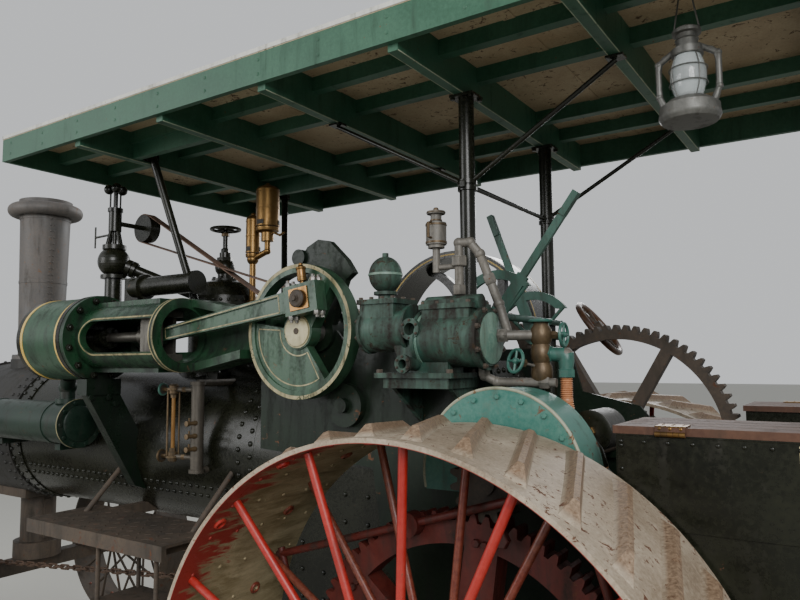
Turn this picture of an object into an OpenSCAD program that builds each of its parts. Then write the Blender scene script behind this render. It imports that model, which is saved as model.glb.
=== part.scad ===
// Steam traction engine, full size, in millimetres.
// X runs to the machine's front, Y to its left, Z up. The origin is on the ground
// under the middle of the whole machine. Places are set from the rear axle.

/* [Rear wheels] */
// Radius of the tread plate
rim_r = 840; // [800:5:880]
// Width of the tread plate
rim_w = 543; // [480:1:600]
// Thickness of the tread plate
rim_t = 14; // [10:1:20]
// Outer edge of the tread plates from the middle of the machine
track_half = 1300; // [1290:1:1340]
// Lugs round each wheel
lug_n = 36; // [32:2:40]
// Height of a lug over the tread plate
lug_h = 28; // [20:1:36]
// Width of a lug at its foot
lug_w = 62; // [50:1:70]
// Length of a lug along its ridge line
lug_len = 500; // [440:5:520]
// Turn of a lug away from straight across
lug_skew = 20; // [15:1:24]
// Round spokes in each of the two sets
spoke_n = 16; // [12:1:18]
// Diameter of a spoke
spoke_d = 25; // [22:1:30]
// Radius of the rear hub
hub_r = 125; // [110:1:140]
// Radius of the rear axle
axle_r = 55; // [45:1:60]

/* [Gears] */
// Circular pitch of the teeth, given as the module
gear_module = 14.25; // [14:0.05:14.5]
// Teeth of each bull gear
bull_teeth = 80; // [78:1:81]
// Teeth of each pinion
pinion_teeth = 15; // [14:1:16]
// Face width of the bull gears
bull_w = 80; // [60:1:90]
// Teeth of the differential gear
diff_teeth = 72; // [70:1:74]
// Turn of the countershaft forward of straight above the axle, in degrees
counter_turn = -6.6; // [-8:0.2:-5]

/* [Front wheels] */
// Radius of a front wheel
front_r = 555; // [520:5:580]
// Width of a front wheel
front_w = 250; // [200:5:280]
// Middle of a front wheel from the middle of the machine
front_y = 725; // [700:5:760]
// Distance from the rear axle to the front axle
wheelbase = 3800; // [3750:5:3850]
// Spokes in each front wheel
front_spoke_n = 12; // [10:2:14]

/* [Boiler] */
// Radius of the boiler barrel
boiler_r = 425; // [410:1:430]
// Height of the barrel's middle
boiler_z = 1473; // [1460:1:1485]
// Back of the firebox, from the rear axle
backhead_x = 250; // [200:5:270]
// Length of the firebox wrapper
firebox_len = 1050; // [1000:5:1100]
// Bottom of the firebox
firebox_z = 640; // [600:5:680]
// Length of the barrel in front of the firebox
barrel_len = 2100; // [2050:5:2150]
// Length of the smokebox
smokebox_len = 800; // [750:5:830]
// Thickness of the smokebox plate
smokebox_t = 14; // [10:1:20]

/* [Engine] */
// Middle of the cylinder from the middle of the machine
engine_y = 645; // [640:1:655]
// Crankshaft forward of the rear axle
crank_x = 890; // [880:1:900]
// Height of the crankshaft
crank_z = 2028; // [2020:1:2036]
// Half of the piston's stroke
throw = 145; // [140:1:148]
// Length of the connecting rod between its pins
rod_len = 890; // [880:1:900]
// Turn of the crank pin back from straight ahead, in degrees
crank_turn = 121; // [115:1:125]
// Radius of the crank disc
disc_r = 278; // [270:1:285]
// Outer face of the crank disc
disc_face_y = 595; // [590:1:600]
// Thickness of the crank disc
disc_t = 60; // [50:1:65]
// Radius of the crankshaft
shaft_r = 42; // [38:1:46]
// Radius of the flywheel
flywheel_r = 500; // [480:5:520]
// Width of the flywheel rim
flywheel_w = 270; // [250:5:280]
// Inner edge of the flywheel rim from the middle
flywheel_y = 700; // [690:5:720]
// Outer radius of the crosshead guide
guide_r = 155; // [150:1:160]
// Bore radius of the crosshead guide
guide_bore = 125; // [122:1:128]
// Length of the crosshead guide
guide_len = 640; // [620:5:660]
// Open end of the guide from the rear axle
guide_x = 1530; // [1520:1:1540]
// Radius of the cylinder with its lagging
cylinder_r = 207; // [200:1:212]
// Length of the lagging
lagging_len = 330; // [300:5:360]

/* [Canopy] */
// Underside of the cross joists
joist_z = 2928; // [2900:1:2960]
// Depth of a cross joist
joist_h = 140; // [120:1:150]
// Thickness of a cross joist
joist_t = 40; // [30:1:50]
// Spacing of the cross joists
joist_pitch = 602; // [590:1:615]
// Front joist from the rear axle
joist_x = 2017; // [2000:1:2030]
// Cross joists
joist_n = 6; // [6:1:6]
// Overhang of the roof past its end joists
roof_overhang = 640; // [600:5:660]
// Half width of the roof
roof_half = 915; // [900:5:930]
// Thickness of the roof boards
roof_t = 22; // [18:1:30]
// Half spacing of the main posts
post_y = 400; // [395:1:405]
// Diameter of a main post
post_d = 60; // [50:1:64]
// Main posts from the rear axle
post_x = 200; // [190:1:210]

/* [Platform] */
// Height of the platform floor
floor_z = 800; // [760:5:820]
// Front of the fuel bunkers, behind the axle
bunker_front = -440; // [-460:5:-430]
// Front of the right bunker, clear of the differential gear
bunker_front_right = -625; // [-700:5:-620]
// Length of the left fuel bunker
bunker_len = 980; // [900:5:1000]
// Outer face of a fuel bunker
bunker_out = 735; // [725:1:738]
// Inner face of a fuel bunker
bunker_in = 400; // [380:5:420]
// Top edge of a fuel bunker
bunker_top = 1694; // [1680:1:1700]
// Thickness of the bunker plates
bunker_t = 10; // [8:1:14]
// Thickness of a bunker lid
lid_t = 22; // [18:1:26]

/* [Stack and dome] */
// Top of the smokestack
stack_top = 3068; // [3000:1:3100]
// Radius of the stack at its foot
stack_foot_r = 140; // [130:1:150]
// Radius of the stack below its rim
stack_head_r = 165; // [155:1:175]
// Outer radius of the rolled rim
stack_rim_r = 245; // [230:1:255]
// Radius of the steam dome
dome_r = 195; // [180:1:210]
// Steam dome forward of the rear axle
dome_x = 1975; // [1965:1:1985]
// Top of the steam dome
dome_top = 2360; // [2340:1:2380]

/* [Hidden] */
$fn = 48;
run_gap = 0.3;
pivot_gap = 5;
axle_z = rim_r + lug_h;
front_z = front_r;
x_front = wheelbase + front_r;
x_rear = joist_x - (joist_n - 1) * joist_pitch - roof_overhang;
x_mid = (x_front + x_rear) / 2;
roof_z = joist_z + joist_h;
wrap_r = boiler_r + 5;
firebox_front = backhead_x + firebox_len;
barrel_front = firebox_front + barrel_len;
smokebox_front = barrel_front + smokebox_len;
stack_x = smokebox_front - 350;
wheel_in = track_half - rim_w;
bull_pitch_r = gear_module * bull_teeth / 2;
pinion_pitch_r = gear_module * pinion_teeth / 2;
counter_d = bull_pitch_r + pinion_pitch_r;
counter_x = counter_d * sin(counter_turn);
counter_z = axle_z + counter_d * cos(counter_turn);
bull_y = wheel_in + 18;
wing_y = wrap_r + run_gap;
wing_t = 14;
pin_x = crank_x + throw * cos(crank_turn);
pin_z = crank_z + throw * sin(crank_turn);
pin_angle = asin((pin_z - crank_z) / rod_len);
cross_x = pin_x + rod_len * cos(pin_angle);
flange_x = guide_x + guide_len;
governor_x = 2400;
governor_y = 420;
governor_ball_z = 2462;
belt_y = 210;
belt_z = 2680;

// Moves a piece that is placed from the rear axle into the machine's frame
module place() translate([-x_mid, 0, 0]) children();
// A round bar from one point to another
module bar(p, q, d) {
    v = q - p;
    l = norm(v);
    translate(p) rotate([0, acos(v[2] / l), atan2(v[1], v[0])]) cylinder(h = l, d = d);
}
// A pipe along a few points, with round elbows
module pipe(points, d) {
    for (i = [0 : len(points) - 2]) bar(points[i], points[i + 1], d);
    for (i = [1 : len(points) - 2]) translate(points[i]) sphere(d = d * 1.2);
}
// A round piece on an axis along X or along Y
module along_x(x, y, z, r, l) translate([x, y, z]) rotate([0, 90, 0]) cylinder(r = r, h = l);
module along_y(x, y, z, r, l) translate([x, y, z]) rotate([-90, 0, 0]) cylinder(r = r, h = l);
// The same piece on both sides of the machine
module both() {
    children();
    mirror([0, 1, 0]) children();
}
// A small valve wheel lying flat, with its stem below
module valve_wheel(r, t, stem) {
    rotate_extrude() translate([r, 0]) circle(d = t);
    for (a = [0, 90]) rotate([90, 0, a]) cylinder(d = t * 0.8, h = 2 * r, center = true);
    translate([0, 0, -stem]) cylinder(d = t, h = stem);
}
// A flat gear outline with its first tooth on the X axis
module gear_outline(teeth, turn = 0) {
    r = gear_module * teeth / 2;
    tip = r + 0.8 * gear_module;
    root = r - 1.05 * gear_module;
    step = 360 / teeth;
    // Half angles of a tooth at its root, pitch line and tip, as shares of one step
    half_root = 0.34 * step;
    half_pitch = 0.235 * step;
    half_tip = 0.12 * step;
    polygon([for (i = [0 : teeth - 1], p = [[root, -half_root], [r, -half_pitch], [tip, -half_tip],
        [tip, half_tip], [r, half_pitch], [root, half_root]])
        p[0] * [cos(i * step + turn + p[1]), sin(i * step + turn + p[1])]]);
}
// Stands a flat outline on edge so that it faces along Y, starting at y
module upright(x, y, z, w) translate([x, y + w, z]) rotate([90, 0, 0]) linear_extrude(w) children();

// One lug, along Y, with its foot sunk into the tread plate
lug_sink = 8;
module lug() {
    ridge = 16;
    intersection() {
        translate([0, lug_len / 2, 0]) rotate([90, 0, 0]) linear_extrude(lug_len)
            polygon([[-lug_w / 2, 0], [lug_w / 2, 0], [ridge / 2, lug_h + lug_sink],
                [-ridge / 2, lug_h + lug_sink]]);
        translate([-lug_w, 0, 0]) rotate([90, 0, 90]) linear_extrude(2 * lug_w)
            polygon([[-lug_len / 2, 0], [lug_len / 2, 0], [lug_len * 0.36, lug_h + lug_sink],
                [-lug_len * 0.36, lug_h + lug_sink]]);
    }
}
// Tread plate with its lugs, on the left of the machine
module rear_rim() {
    translate([0, wheel_in, 0]) rotate([-90, 0, 0]) difference() {
        cylinder(r = rim_r, h = rim_w);
        translate([0, 0, -1]) cylinder(r = rim_r - rim_t, h = rim_w + 2);
    }
    for (i = [0 : lug_n - 1]) rotate([0, i * 360 / lug_n, 0])
        translate([0, wheel_in + rim_w / 2, rim_r - lug_sink]) rotate([0, 0, lug_skew]) lug();
}
module rear_rim_left() color([0.62, 0.55, 0.44]) place() translate([0, 0, axle_z]) rear_rim();
module rear_rim_right() color([0.62, 0.55, 0.44]) place() translate([0, 0, axle_z]) mirror([0, 1, 0])
    rear_rim();

// Two sets of round spokes from the hub's flanges to the tread plate
// columns of a set: hub flange y, turn of the first spoke, rim y
spoke_sets = [[track_half - 95, -3.5, track_half - 60], [wheel_in + 215, -5, wheel_in + 165]];
// A leaning spoke's square end stays this far from the plate
spoke_gap = 1.5;
module rear_spokes() {
    difference() {
        union() {
            along_y(0, wheel_in - 20, 0, hub_r, rim_w - 15);
            for (s = spoke_sets) along_y(0, s[0] - 25, 0, hub_r + 55, 50);
            for (s = spoke_sets, i = [0 : spoke_n - 1]) rotate([0, s[1] + i * 360 / spoke_n, 0])
                bar([0, s[0], hub_r + 20], [0, s[2], rim_r - rim_t - spoke_gap], spoke_d);
        }
        along_y(0, wheel_in - 60, 0, axle_r + run_gap, rim_w + 100);
    }
}
module rear_spokes_left() color([0.62, 0.1, 0.07]) place() translate([0, 0, axle_z]) rear_spokes();
module rear_spokes_right() color([0.62, 0.1, 0.07]) place() translate([0, 0, axle_z]) mirror([0, 1, 0])
    rear_spokes();

// Bull gear with wide arms, and the rods that tie it to the tread plate
bull_arm_n = 6;
tie_n = 4;
tie_r = 555;
tie_d = 26;
tie_turn = 17;
module bull_gear() {
    upright(0, bull_y, 0, bull_w) difference() {
        // a tooth space points straight at the pinion
        gear_outline(bull_teeth, 90 - counter_turn + 180 / bull_teeth);
        difference() {
            circle(r = bull_pitch_r - 85);
            for (i = [0 : bull_arm_n - 1]) rotate(98 + i * 360 / bull_arm_n) translate([0, -55])
                square([bull_pitch_r, 110]);
        }
        circle(r = hub_r + run_gap);
    }
    // rods that run straight across the gear's face to the tread plate
    tie_half = sqrt(pow(rim_r - rim_t - run_gap - tie_d, 2) - pow(tie_r, 2));
    for (i = [0 : tie_n - 1]) rotate([0, tie_turn + i * 360 / tie_n, 0]) {
        along_y(0, bull_y + bull_w - 5, tie_r, 38, 52);
        bar([-tie_half, bull_y + bull_w + 28, tie_r], [tie_half, bull_y + bull_w + 28, tie_r], tie_d);
    }
}
module bull_gear_left() color([0.45, 0.09, 0.06]) place() translate([0, 0, axle_z]) bull_gear();
module bull_gear_right() color([0.45, 0.09, 0.06]) place() translate([0, 0, axle_z]) mirror([0, 1, 0])
    bull_gear();

// Pinion on the end of the countershaft
pinion_bore = 38;
module bull_pinion() translate([counter_x, 0, counter_z]) difference() {
    upright(0, bull_y - 4, 0, bull_w - 6) gear_outline(pinion_teeth, 270 - counter_turn);
    along_y(0, bull_y - 10, 0, pinion_bore + run_gap, bull_w + 20);
}
module bull_pinion_left() color([0.3, 0.08, 0.06]) place() bull_pinion();
module bull_pinion_right() color([0.3, 0.08, 0.06]) place() mirror([0, 1, 0]) bull_pinion();

// Countershaft, differential gear, intermediate gear and the clutch pinion, on the right
gear_plane_y = 475;
gear_w = 60;
train_x = crank_x - counter_x;
train_z = crank_z - counter_z;
train_d = norm([train_x, train_z]);
train_angle = atan2(train_z, train_x);
diff_pitch_r = gear_module * diff_teeth / 2;
idler_teeth = ceil((train_d - diff_pitch_r - pinion_pitch_r) / gear_module);
idler_pitch_r = gear_module * idler_teeth / 2;
// The intermediate gear stands where both gaps close: the two distances fix the corner
idler_a = diff_pitch_r + idler_pitch_r;
idler_b = pinion_pitch_r + idler_pitch_r;
idler_bend = acos((idler_a * idler_a + train_d * train_d - idler_b * idler_b) / (2 * idler_a * train_d));
idler_x = counter_x + idler_a * cos(train_angle + idler_bend);
idler_z = counter_z + idler_a * sin(train_angle + idler_bend);
module spoked_gear(teeth, turn, arms, bore) {
    r = gear_module * teeth / 2;
    difference() {
        gear_outline(teeth, turn);
        difference() {
            circle(r = r - 55);
            circle(r = bore + 45);
            for (i = [0 : arms - 1]) rotate(i * 360 / arms) translate([0, -25]) square([r, 50]);
        }
    }
}
// The clutch pinion's turn follows from where the intermediate gear's teeth stand
mesh_angle = atan2(crank_z - idler_z, crank_x - idler_x);
idler_turn = train_angle + idler_bend + 180 + 180 / idler_teeth;
idler_step = 360 / idler_teeth;
mesh_part = (idler_turn - mesh_angle) / idler_step - floor((idler_turn - mesh_angle) / idler_step);
clutch_turn = mesh_angle + 180 + (0.5 - mesh_part) * 360 / pinion_teeth;
module drive_gears() color([0.16, 0.2, 0.15]) place() {
    upright(counter_x, -gear_plane_y - gear_w, counter_z, gear_w) difference() {
        spoked_gear(diff_teeth, train_angle + idler_bend, 6, pinion_bore);
        circle(r = pinion_bore + run_gap);
    }
    upright(idler_x, -gear_plane_y - gear_w, idler_z, gear_w)
        spoked_gear(idler_teeth, idler_turn, 6, 40);
    upright(crank_x, -gear_plane_y - gear_w, crank_z, gear_w) difference() {
        gear_outline(pinion_teeth, clutch_turn);
        circle(r = shaft_r + run_gap);
    }
    along_y(idler_x, -gear_plane_y - gear_w - 20, idler_z, 40,
        gear_w + 20 + gear_plane_y - wing_y - wing_t);
}

// Shaft across the machine that carries the differential gear and both pinions
module countershaft() color([0.16, 0.16, 0.15]) place()
    along_y(counter_x, -(bull_y + bull_w + 1), counter_z, pinion_bore, 2 * (bull_y + bull_w + 1));

// Boiler barrel and firebox in one, with the fire hole cut into the backhead
fire_hole_r = 165;
fire_hole_z = 1320;
door_hinge_x = backhead_x - 22;
door_hinge_y = 215;
door_t = 18;
door_pin_r = 7;
module boiler() color([0.1, 0.11, 0.08]) place() difference() {
    union() {
        along_x(firebox_front - 50, 0, boiler_z, boiler_r, barrel_len + 50);
        // doubled plates where the sheets are riveted together
        for (x = [firebox_front, firebox_front + barrel_len - 120])
            along_x(x, 0, boiler_z, boiler_r + 6, 120);
        translate([backhead_x, 0, 0]) rotate([90, 0, 90]) linear_extrude(firebox_len) {
            translate([0, boiler_z]) circle(r = wrap_r);
            translate([-wrap_r, firebox_z]) square([2 * wrap_r, boiler_z - firebox_z]);
        }
        // foundation ring and ash pan
        translate([backhead_x - 12, -wrap_r - 12, firebox_z - 60])
            cube([firebox_len + 24, 2 * wrap_r + 24, 60]);
        translate([backhead_x + 60, -wrap_r + 60, firebox_z - 230])
            cube([firebox_len - 120, 2 * wrap_r - 120, 171]);
        // ear and pin that carry the fire door
        translate([door_hinge_x - 9, door_hinge_y - 10, fire_hole_z - 50]) cube([35, 20, 100]);
        translate([door_hinge_x, door_hinge_y, fire_hole_z - 122]) cylinder(r = door_pin_r, h = 244);
    }
    along_x(backhead_x - 1, 0, fire_hole_z, fire_hole_r, 120);
    translate([backhead_x + 90, -wrap_r + 90, firebox_z + 60])
        cube([firebox_len - 180, 2 * wrap_r - 180, 850]);
}
// Fire door on the backhead, hinged on its left
module fire_door() color([0.12, 0.11, 0.1]) place() {
    along_x(backhead_x - door_t - 1, 0, fire_hole_z, fire_hole_r + 20, door_t);
    for (z = [-90, 90]) translate([backhead_x - door_t - 9, 0, fire_hole_z + z - 16])
        cube([8, door_hinge_y - 9, 32]);
    for (z = [-90, 90]) translate([door_hinge_x, door_hinge_y, fire_hole_z + z - 26]) difference() {
        union() {
            cylinder(r = 13, h = 52);
            translate([0, -12, 10]) cube([5, 12, 32]);
        }
        translate([0, 0, -1]) cylinder(r = door_pin_r + run_gap, h = 54);
    }
    translate([backhead_x - 60, -120, fire_hole_z - 8]) rotate([0, 90, 0]) cylinder(r = 9, h = 42);
}
// Smokebox shell, open at the front behind its door
smokebox_r = boiler_r + smokebox_t;
smoke_door_r = 330;
smoke_hinge_x = smokebox_front + 15;
smoke_hinge_y = -(smoke_door_r + 45);
smoke_pin_r = 8;
module smokebox() color([0.08, 0.08, 0.075]) place() difference() {
    union() {
        along_x(barrel_front, 0, boiler_z, smokebox_r, smokebox_len);
        along_x(smokebox_front - 30, 0, boiler_z, smokebox_r + 12, 30);
        translate([stack_x, 0, boiler_z]) cylinder(r = stack_foot_r + 45, h = smokebox_r + 26);
        // ear and pin that carry the door
        translate([smokebox_front - 1, smoke_hinge_y - 12, boiler_z - 90]) cube([26, 24, 180]);
        translate([smoke_hinge_x, smoke_hinge_y, boiler_z - 165]) cylinder(r = smoke_pin_r, h = 330);
    }
    along_x(barrel_front + 20, 0, boiler_z, boiler_r, smokebox_len - 38);
    along_x(smokebox_front - 40, 0, boiler_z, smoke_door_r - 25, 60);
    translate([stack_x, 0, boiler_z]) cylinder(r = stack_foot_r - 20, h = smokebox_r + 60);
}
// Round dished door with a hinge on its right side
module smokebox_door() color([0.08, 0.08, 0.075]) place() {
    translate([smokebox_front + run_gap, 0, boiler_z]) rotate([0, 90, 0]) rotate_extrude($fn = 64)
        polygon([[0, 0], [smoke_door_r, 0], [smoke_door_r, 14], [smoke_door_r - 60, 34], [60, 52],
            [60, 70], [0, 70]]);
    for (z = [-130, 130]) {
        translate([smokebox_front + 3, smoke_hinge_y + 12, boiler_z + z - 18])
            cube([14, smoke_door_r - 12, 36]);
        translate([smoke_hinge_x, smoke_hinge_y, boiler_z + z - 30]) difference() {
            cylinder(r = 14, h = 60);
            translate([0, 0, -1]) cylinder(r = smoke_pin_r + run_gap, h = 62);
        }
    }
}
// Tapered stack with a rolled rim
module smokestack() color([0.2, 0.19, 0.18]) place() translate([stack_x, 0, 0]) rotate_extrude($fn = 64) {
    foot_z = boiler_z + smokebox_r + 26 + run_gap;
    rim_mid = stack_top - 75;
    wall = 14;
    polygon([[stack_foot_r - wall, foot_z], [stack_foot_r + 40, foot_z], [stack_foot_r + 40, foot_z + 20],
        [stack_foot_r + 4, foot_z + 30], [stack_head_r, rim_mid], [stack_head_r + 10, stack_top],
        [stack_head_r - wall, stack_top], [stack_head_r - wall - 6, rim_mid]]);
    translate([stack_rim_r - 45, rim_mid]) intersection() {
        circle(r = 45);
        translate([-90, -45]) square([135, 90]);
    }
    translate([stack_head_r - 10, rim_mid - 40]) square([stack_rim_r - stack_head_r - 30, 80]);
}
// Cast pedestal under the smokebox, with the king pin's socket
king_r = 45;
pedestal_bottom = front_z + 110;
module front_pedestal() color([0.11, 0.12, 0.1]) place() difference() {
    union() {
        translate([wheelbase - 190, -200, boiler_z - smokebox_r - 10]) cube([380, 400, 100]);
        translate([wheelbase, 0, pedestal_bottom]) cylinder(r = 110,
            h = boiler_z - smokebox_r - pedestal_bottom);
        translate([wheelbase - 120, -25, pedestal_bottom + 60]) cube([240, 50, 260]);
        translate([wheelbase, 0, pedestal_bottom]) cylinder(r = 150, h = 40);
    }
    along_x(wheelbase - 400, 0, boiler_z, smokebox_r + run_gap, 800);
    translate([wheelbase, 0, pedestal_bottom - 1]) cylinder(r = king_r + run_gap, h = 160);
}
// Front axle with its turning plate, king pin and spindles
beam_h = 90;
spindle_r = 34;
module front_axle() color([0.12, 0.11, 0.1]) place() {
    hub_in = front_y - front_w / 2 - 30;
    translate([wheelbase - 45, -hub_in + 15, front_z - beam_h / 2]) cube([90, 2 * hub_in - 30, beam_h]);
    translate([wheelbase, 0, front_z + beam_h / 2 - 1]) cylinder(r = 150,
        h = pedestal_bottom - front_z - beam_h / 2 - run_gap + 1);
    translate([wheelbase, 0, front_z]) cylinder(r = king_r, h = pedestal_bottom - front_z + 130);
    both() {
        along_y(wheelbase, hub_in - 20, front_z, spindle_r, front_w + 90);
        along_y(wheelbase, hub_in - 30, front_z, spindle_r + 26, 25);
        along_y(wheelbase, hub_in + front_w + 55, front_z, spindle_r + 14, 18);
    }
}
// Steel front wheel with flat rim, centre ribs and two sets of thin spokes
module front_wheel() {
    inner = front_y - front_w / 2;
    translate([0, inner, 0]) rotate([-90, 0, 0]) difference() {
        cylinder(r = front_r, h = front_w);
        translate([0, 0, -1]) cylinder(r = front_r - 12, h = front_w + 2);
    }
    difference() {
        union() {
            along_y(0, inner - 22, 0, 70, front_w + 44);
            for (s = [[inner - 4, inner + 95], [inner + front_w + 4, inner + front_w - 95]],
                i = [0 : front_spoke_n - 1])
                rotate([0, (i + (s[0] > front_y ? 0.5 : 0)) * 360 / front_spoke_n, 0])
                bar([0, s[0], 60], [0, s[1], front_r - 11], 18);
        }
        along_y(0, inner - 40, 0, spindle_r + run_gap, front_w + 80);
    }
}
module front_wheel_left() color([0.15, 0.12, 0.1]) place() translate([wheelbase, 0, front_z]) front_wheel();
module front_wheel_right() color([0.15, 0.12, 0.1]) place() translate([wheelbase, 0, front_z])
    mirror([0, 1, 0]) front_wheel();

// Chain roller under the barrel, its worm, the long shaft and the hand wheel
roller_x = 1450;
roller_z = 930;
chain_y = 280;
column_low = [roller_x + 95, -600, roller_z];
column_high = [60, -705, 2060];
hand_wheel_r = 150;
column_dir = (column_high - column_low) / norm(column_high - column_low);
module steering_gear() color([0.13, 0.11, 0.09]) place() {
    along_y(roller_x, -620, roller_z, 22, 1040);
    both() along_y(roller_x, chain_y - 60, roller_z, 50, 120);
    // hangers from the barrel
    both() translate([roller_x - 30, 160, roller_z - 35]) difference() {
        cube([60, 22, boiler_z - boiler_r - roller_z + 100]);
        translate([30 - roller_x, -160, 35 - roller_z]) along_x(roller_x - 100, 0, boiler_z,
            boiler_r + run_gap, 200);
    }
    along_y(roller_x, -630, roller_z, 82, 50);
    bar(column_low - column_dir * 120, column_high, 32);
    bar(column_low - column_dir * 60, column_low + column_dir * 60, 70);
    translate(column_high) rotate([0, acos(column_dir[2]), atan2(column_dir[1], column_dir[0])]) {
        rotate_extrude() translate([hand_wheel_r, 0]) circle(d = 28);
        cylinder(r = 32, h = 50, center = true);
        for (a = [0 : 72 : 288]) rotate([0, 90, a]) cylinder(d = 18, h = hand_wheel_r);
    }
}
// Chains from the roller to the front axle
link_pitch = 62;
link_wire = 11;
link_w = 34;
// the end link slopes, so it is held this far over the beam
chain_seat = 1.2;
chain_front = [wheelbase - 20, chain_y, front_z + beam_h / 2 + link_w / 2 + chain_seat];
chain_rear = [roller_x + 20, chain_y, roller_z - 50 - 22];
module chain_link() rotate([90, 0, 0]) translate([0, 0, -link_wire / 2]) linear_extrude(link_wire) difference() {
    half = link_pitch / 2;
    side = link_w / 2;
    polygon([[-half - side, 0], [-half - 8, side], [half + 8, side], [half + side, 0], [half + 8, -side],
        [-half - 8, -side]]);
    square([link_pitch + 11, 12.4], center = true);
}
module steering_chain() {
    run = chain_front - chain_rear;
    count = floor(norm(run) / link_pitch);
    for (i = [0 : count - 1]) translate(chain_rear + run * (i + 0.5) / count)
        rotate([0, -atan2(run[2], run[0]), 0]) rotate([i % 2 * 90, 0, 0]) chain_link();
}
module steering_chains() color([0.2, 0.13, 0.09]) place() both() steering_chain();

// Rear axle in its long bearing between the side plates
module rear_axle() color([0.12, 0.12, 0.11]) place() {
    along_y(0, -(track_half - 22), axle_z, axle_r, 2 * (track_half - 22));
    along_y(0, -(wheel_in - 30), axle_z, axle_r + 50, 2 * (wheel_in - 30));
    both() along_y(0, track_half - 30, axle_z, axle_r + 22, 26);
}
// Round-topped guard over the left end of the countershaft
guard_r = 270;
guard_w = 185;
module gear_guard() color([0.2, 0.4, 0.33]) place() {
    guard_z = counter_z + 5;
    guard_in = wheel_in - 12 - guard_w;
    difference() {
        intersection() {
            along_y(counter_x, guard_in, guard_z, guard_r, guard_w);
            translate([counter_x - 400, guard_in - 60, guard_z - 60]) cube([800, guard_w + 120, 500]);
        }
        along_y(counter_x, guard_in - 10, guard_z, guard_r - 8, guard_w + 2);
        along_y(counter_x, guard_in, counter_z, pinion_bore + 8, guard_w + 60);
    }
    for (s = [-1, 1]) translate([counter_x + s * (guard_r - 25) - 20, wing_y + wing_t + run_gap,
        guard_z - 60])
        cube([40, guard_in - wing_y - wing_t + 20, 20]);
}
// Side plates that carry axle, countershaft and crankshaft, with the bearing caps
crank_bearing_r = 82;
boss_x = 740;
boss_z = 1725;
module side_plate() difference() {
    union() {
        upright(0, wing_y, 0, wing_t) polygon([[-380, 700], [-380, 1480], [-200, 1700], [60, 1760],
            [110, 1960], [740, 1960], [crank_x - 70, crank_z + 20], [crank_x + 70, crank_z + 20],
            [1080, 1930], [1240, 1880],
            [1240, 1520], [620, 1480], [560, 1100], [170, 700]]);
        along_y(crank_x, wing_y - 50, crank_z, crank_bearing_r, 87);
        along_y(counter_x, wing_y - 40, counter_z, pinion_bore + 30, 80);
    }
    along_y(0, wing_y - 100, axle_z, axle_r + 50 + run_gap, 200);
    along_y(crank_x, wing_y - 60, crank_z, shaft_r + run_gap, 110);
    along_y(counter_x, wing_y - 50, counter_z, pinion_bore + run_gap, 120);
}
// columns of the bearing's top casting: along X and up from the crankshaft
casting = [[78, 30], [117, 300], [62, 370], [0, 398], [-60, 386], [-150, 300], [-190, 242], [-150, 214],
    [-78, 30]];
module side_brackets() color([0.13, 0.19, 0.12]) place() {
    both() side_plate();
    // on the left, a bearing for the gear shaft and the casting over the crank bearing
    along_y(boss_x, wing_y - 4, boss_z, 88, 54);
    along_y(boss_x, wing_y - 4, boss_z, 30, 79);
    difference() {
        union() {
            upright(crank_x, wing_y, crank_z, 36) polygon(casting);
            along_y(crank_x + 100, wing_y, crank_z + 327, 36, 52);
        }
        along_y(crank_x, wing_y - 60, crank_z, shaft_r + run_gap, 110);
    }
}

// Cylinder, valve chest and gland
rod_r = 25;
head_x = flange_x + 30 + lagging_len;
core_r = 150;
reverse_y = 442;
reverse_z = 2300;
module cylinder_body() {
    difference() {
        union() {
            along_x(flange_x + run_gap, engine_y, crank_z, cylinder_r + 8, 30 - run_gap);
            along_x(flange_x + 20, engine_y, crank_z, core_r, lagging_len + 20);
            along_x(head_x, engine_y, crank_z, cylinder_r, 36);
            along_x(head_x + 30, engine_y, crank_z, cylinder_r - 50, 20);
            along_x(flange_x - 78, engine_y, crank_z, 44, 90);
            along_x(flange_x - 92, engine_y, crank_z, 52, 20);
            translate([flange_x + 45, 300, crank_z - 90]) cube([290, engine_y - 300 - core_r + 60, 190]);
            along_x(flange_x - 30, 340, crank_z + 30, 34, 90);
        }
        along_x(flange_x - 120, engine_y, crank_z, rod_r + run_gap, lagging_len + 110);
    }
    translate([governor_x, governor_y, crank_z + 90]) cylinder(r = 45, h = 250);
    // reverse gear's box and its long cylinder behind the guide
    translate([flange_x, 345, crank_z + 90]) cube([115, 85, 242]);
    along_x(flange_x - 470, reverse_y, reverse_z, 50, 480);
    along_x(flange_x - 90, reverse_y, reverse_z, 66, 22);
    along_x(flange_x - 486, reverse_y, reverse_z, 58, 20);
}
module steam_cylinder() color([0.08, 0.09, 0.08]) place() cylinder_body();
module cylinder_lagging() color([0.16, 0.29, 0.17]) place() difference() {
    along_x(flange_x + 30 + run_gap, engine_y, crank_z, cylinder_r, lagging_len - 2 * run_gap);
    along_x(flange_x, engine_y, crank_z, core_r + run_gap, lagging_len + 100);
    translate([flange_x, 200, crank_z - 95]) cube([lagging_len + 80, engine_y - 300, 200]);
    translate([governor_x, governor_y, crank_z]) cylinder(r = 50, h = 400);
}
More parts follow.
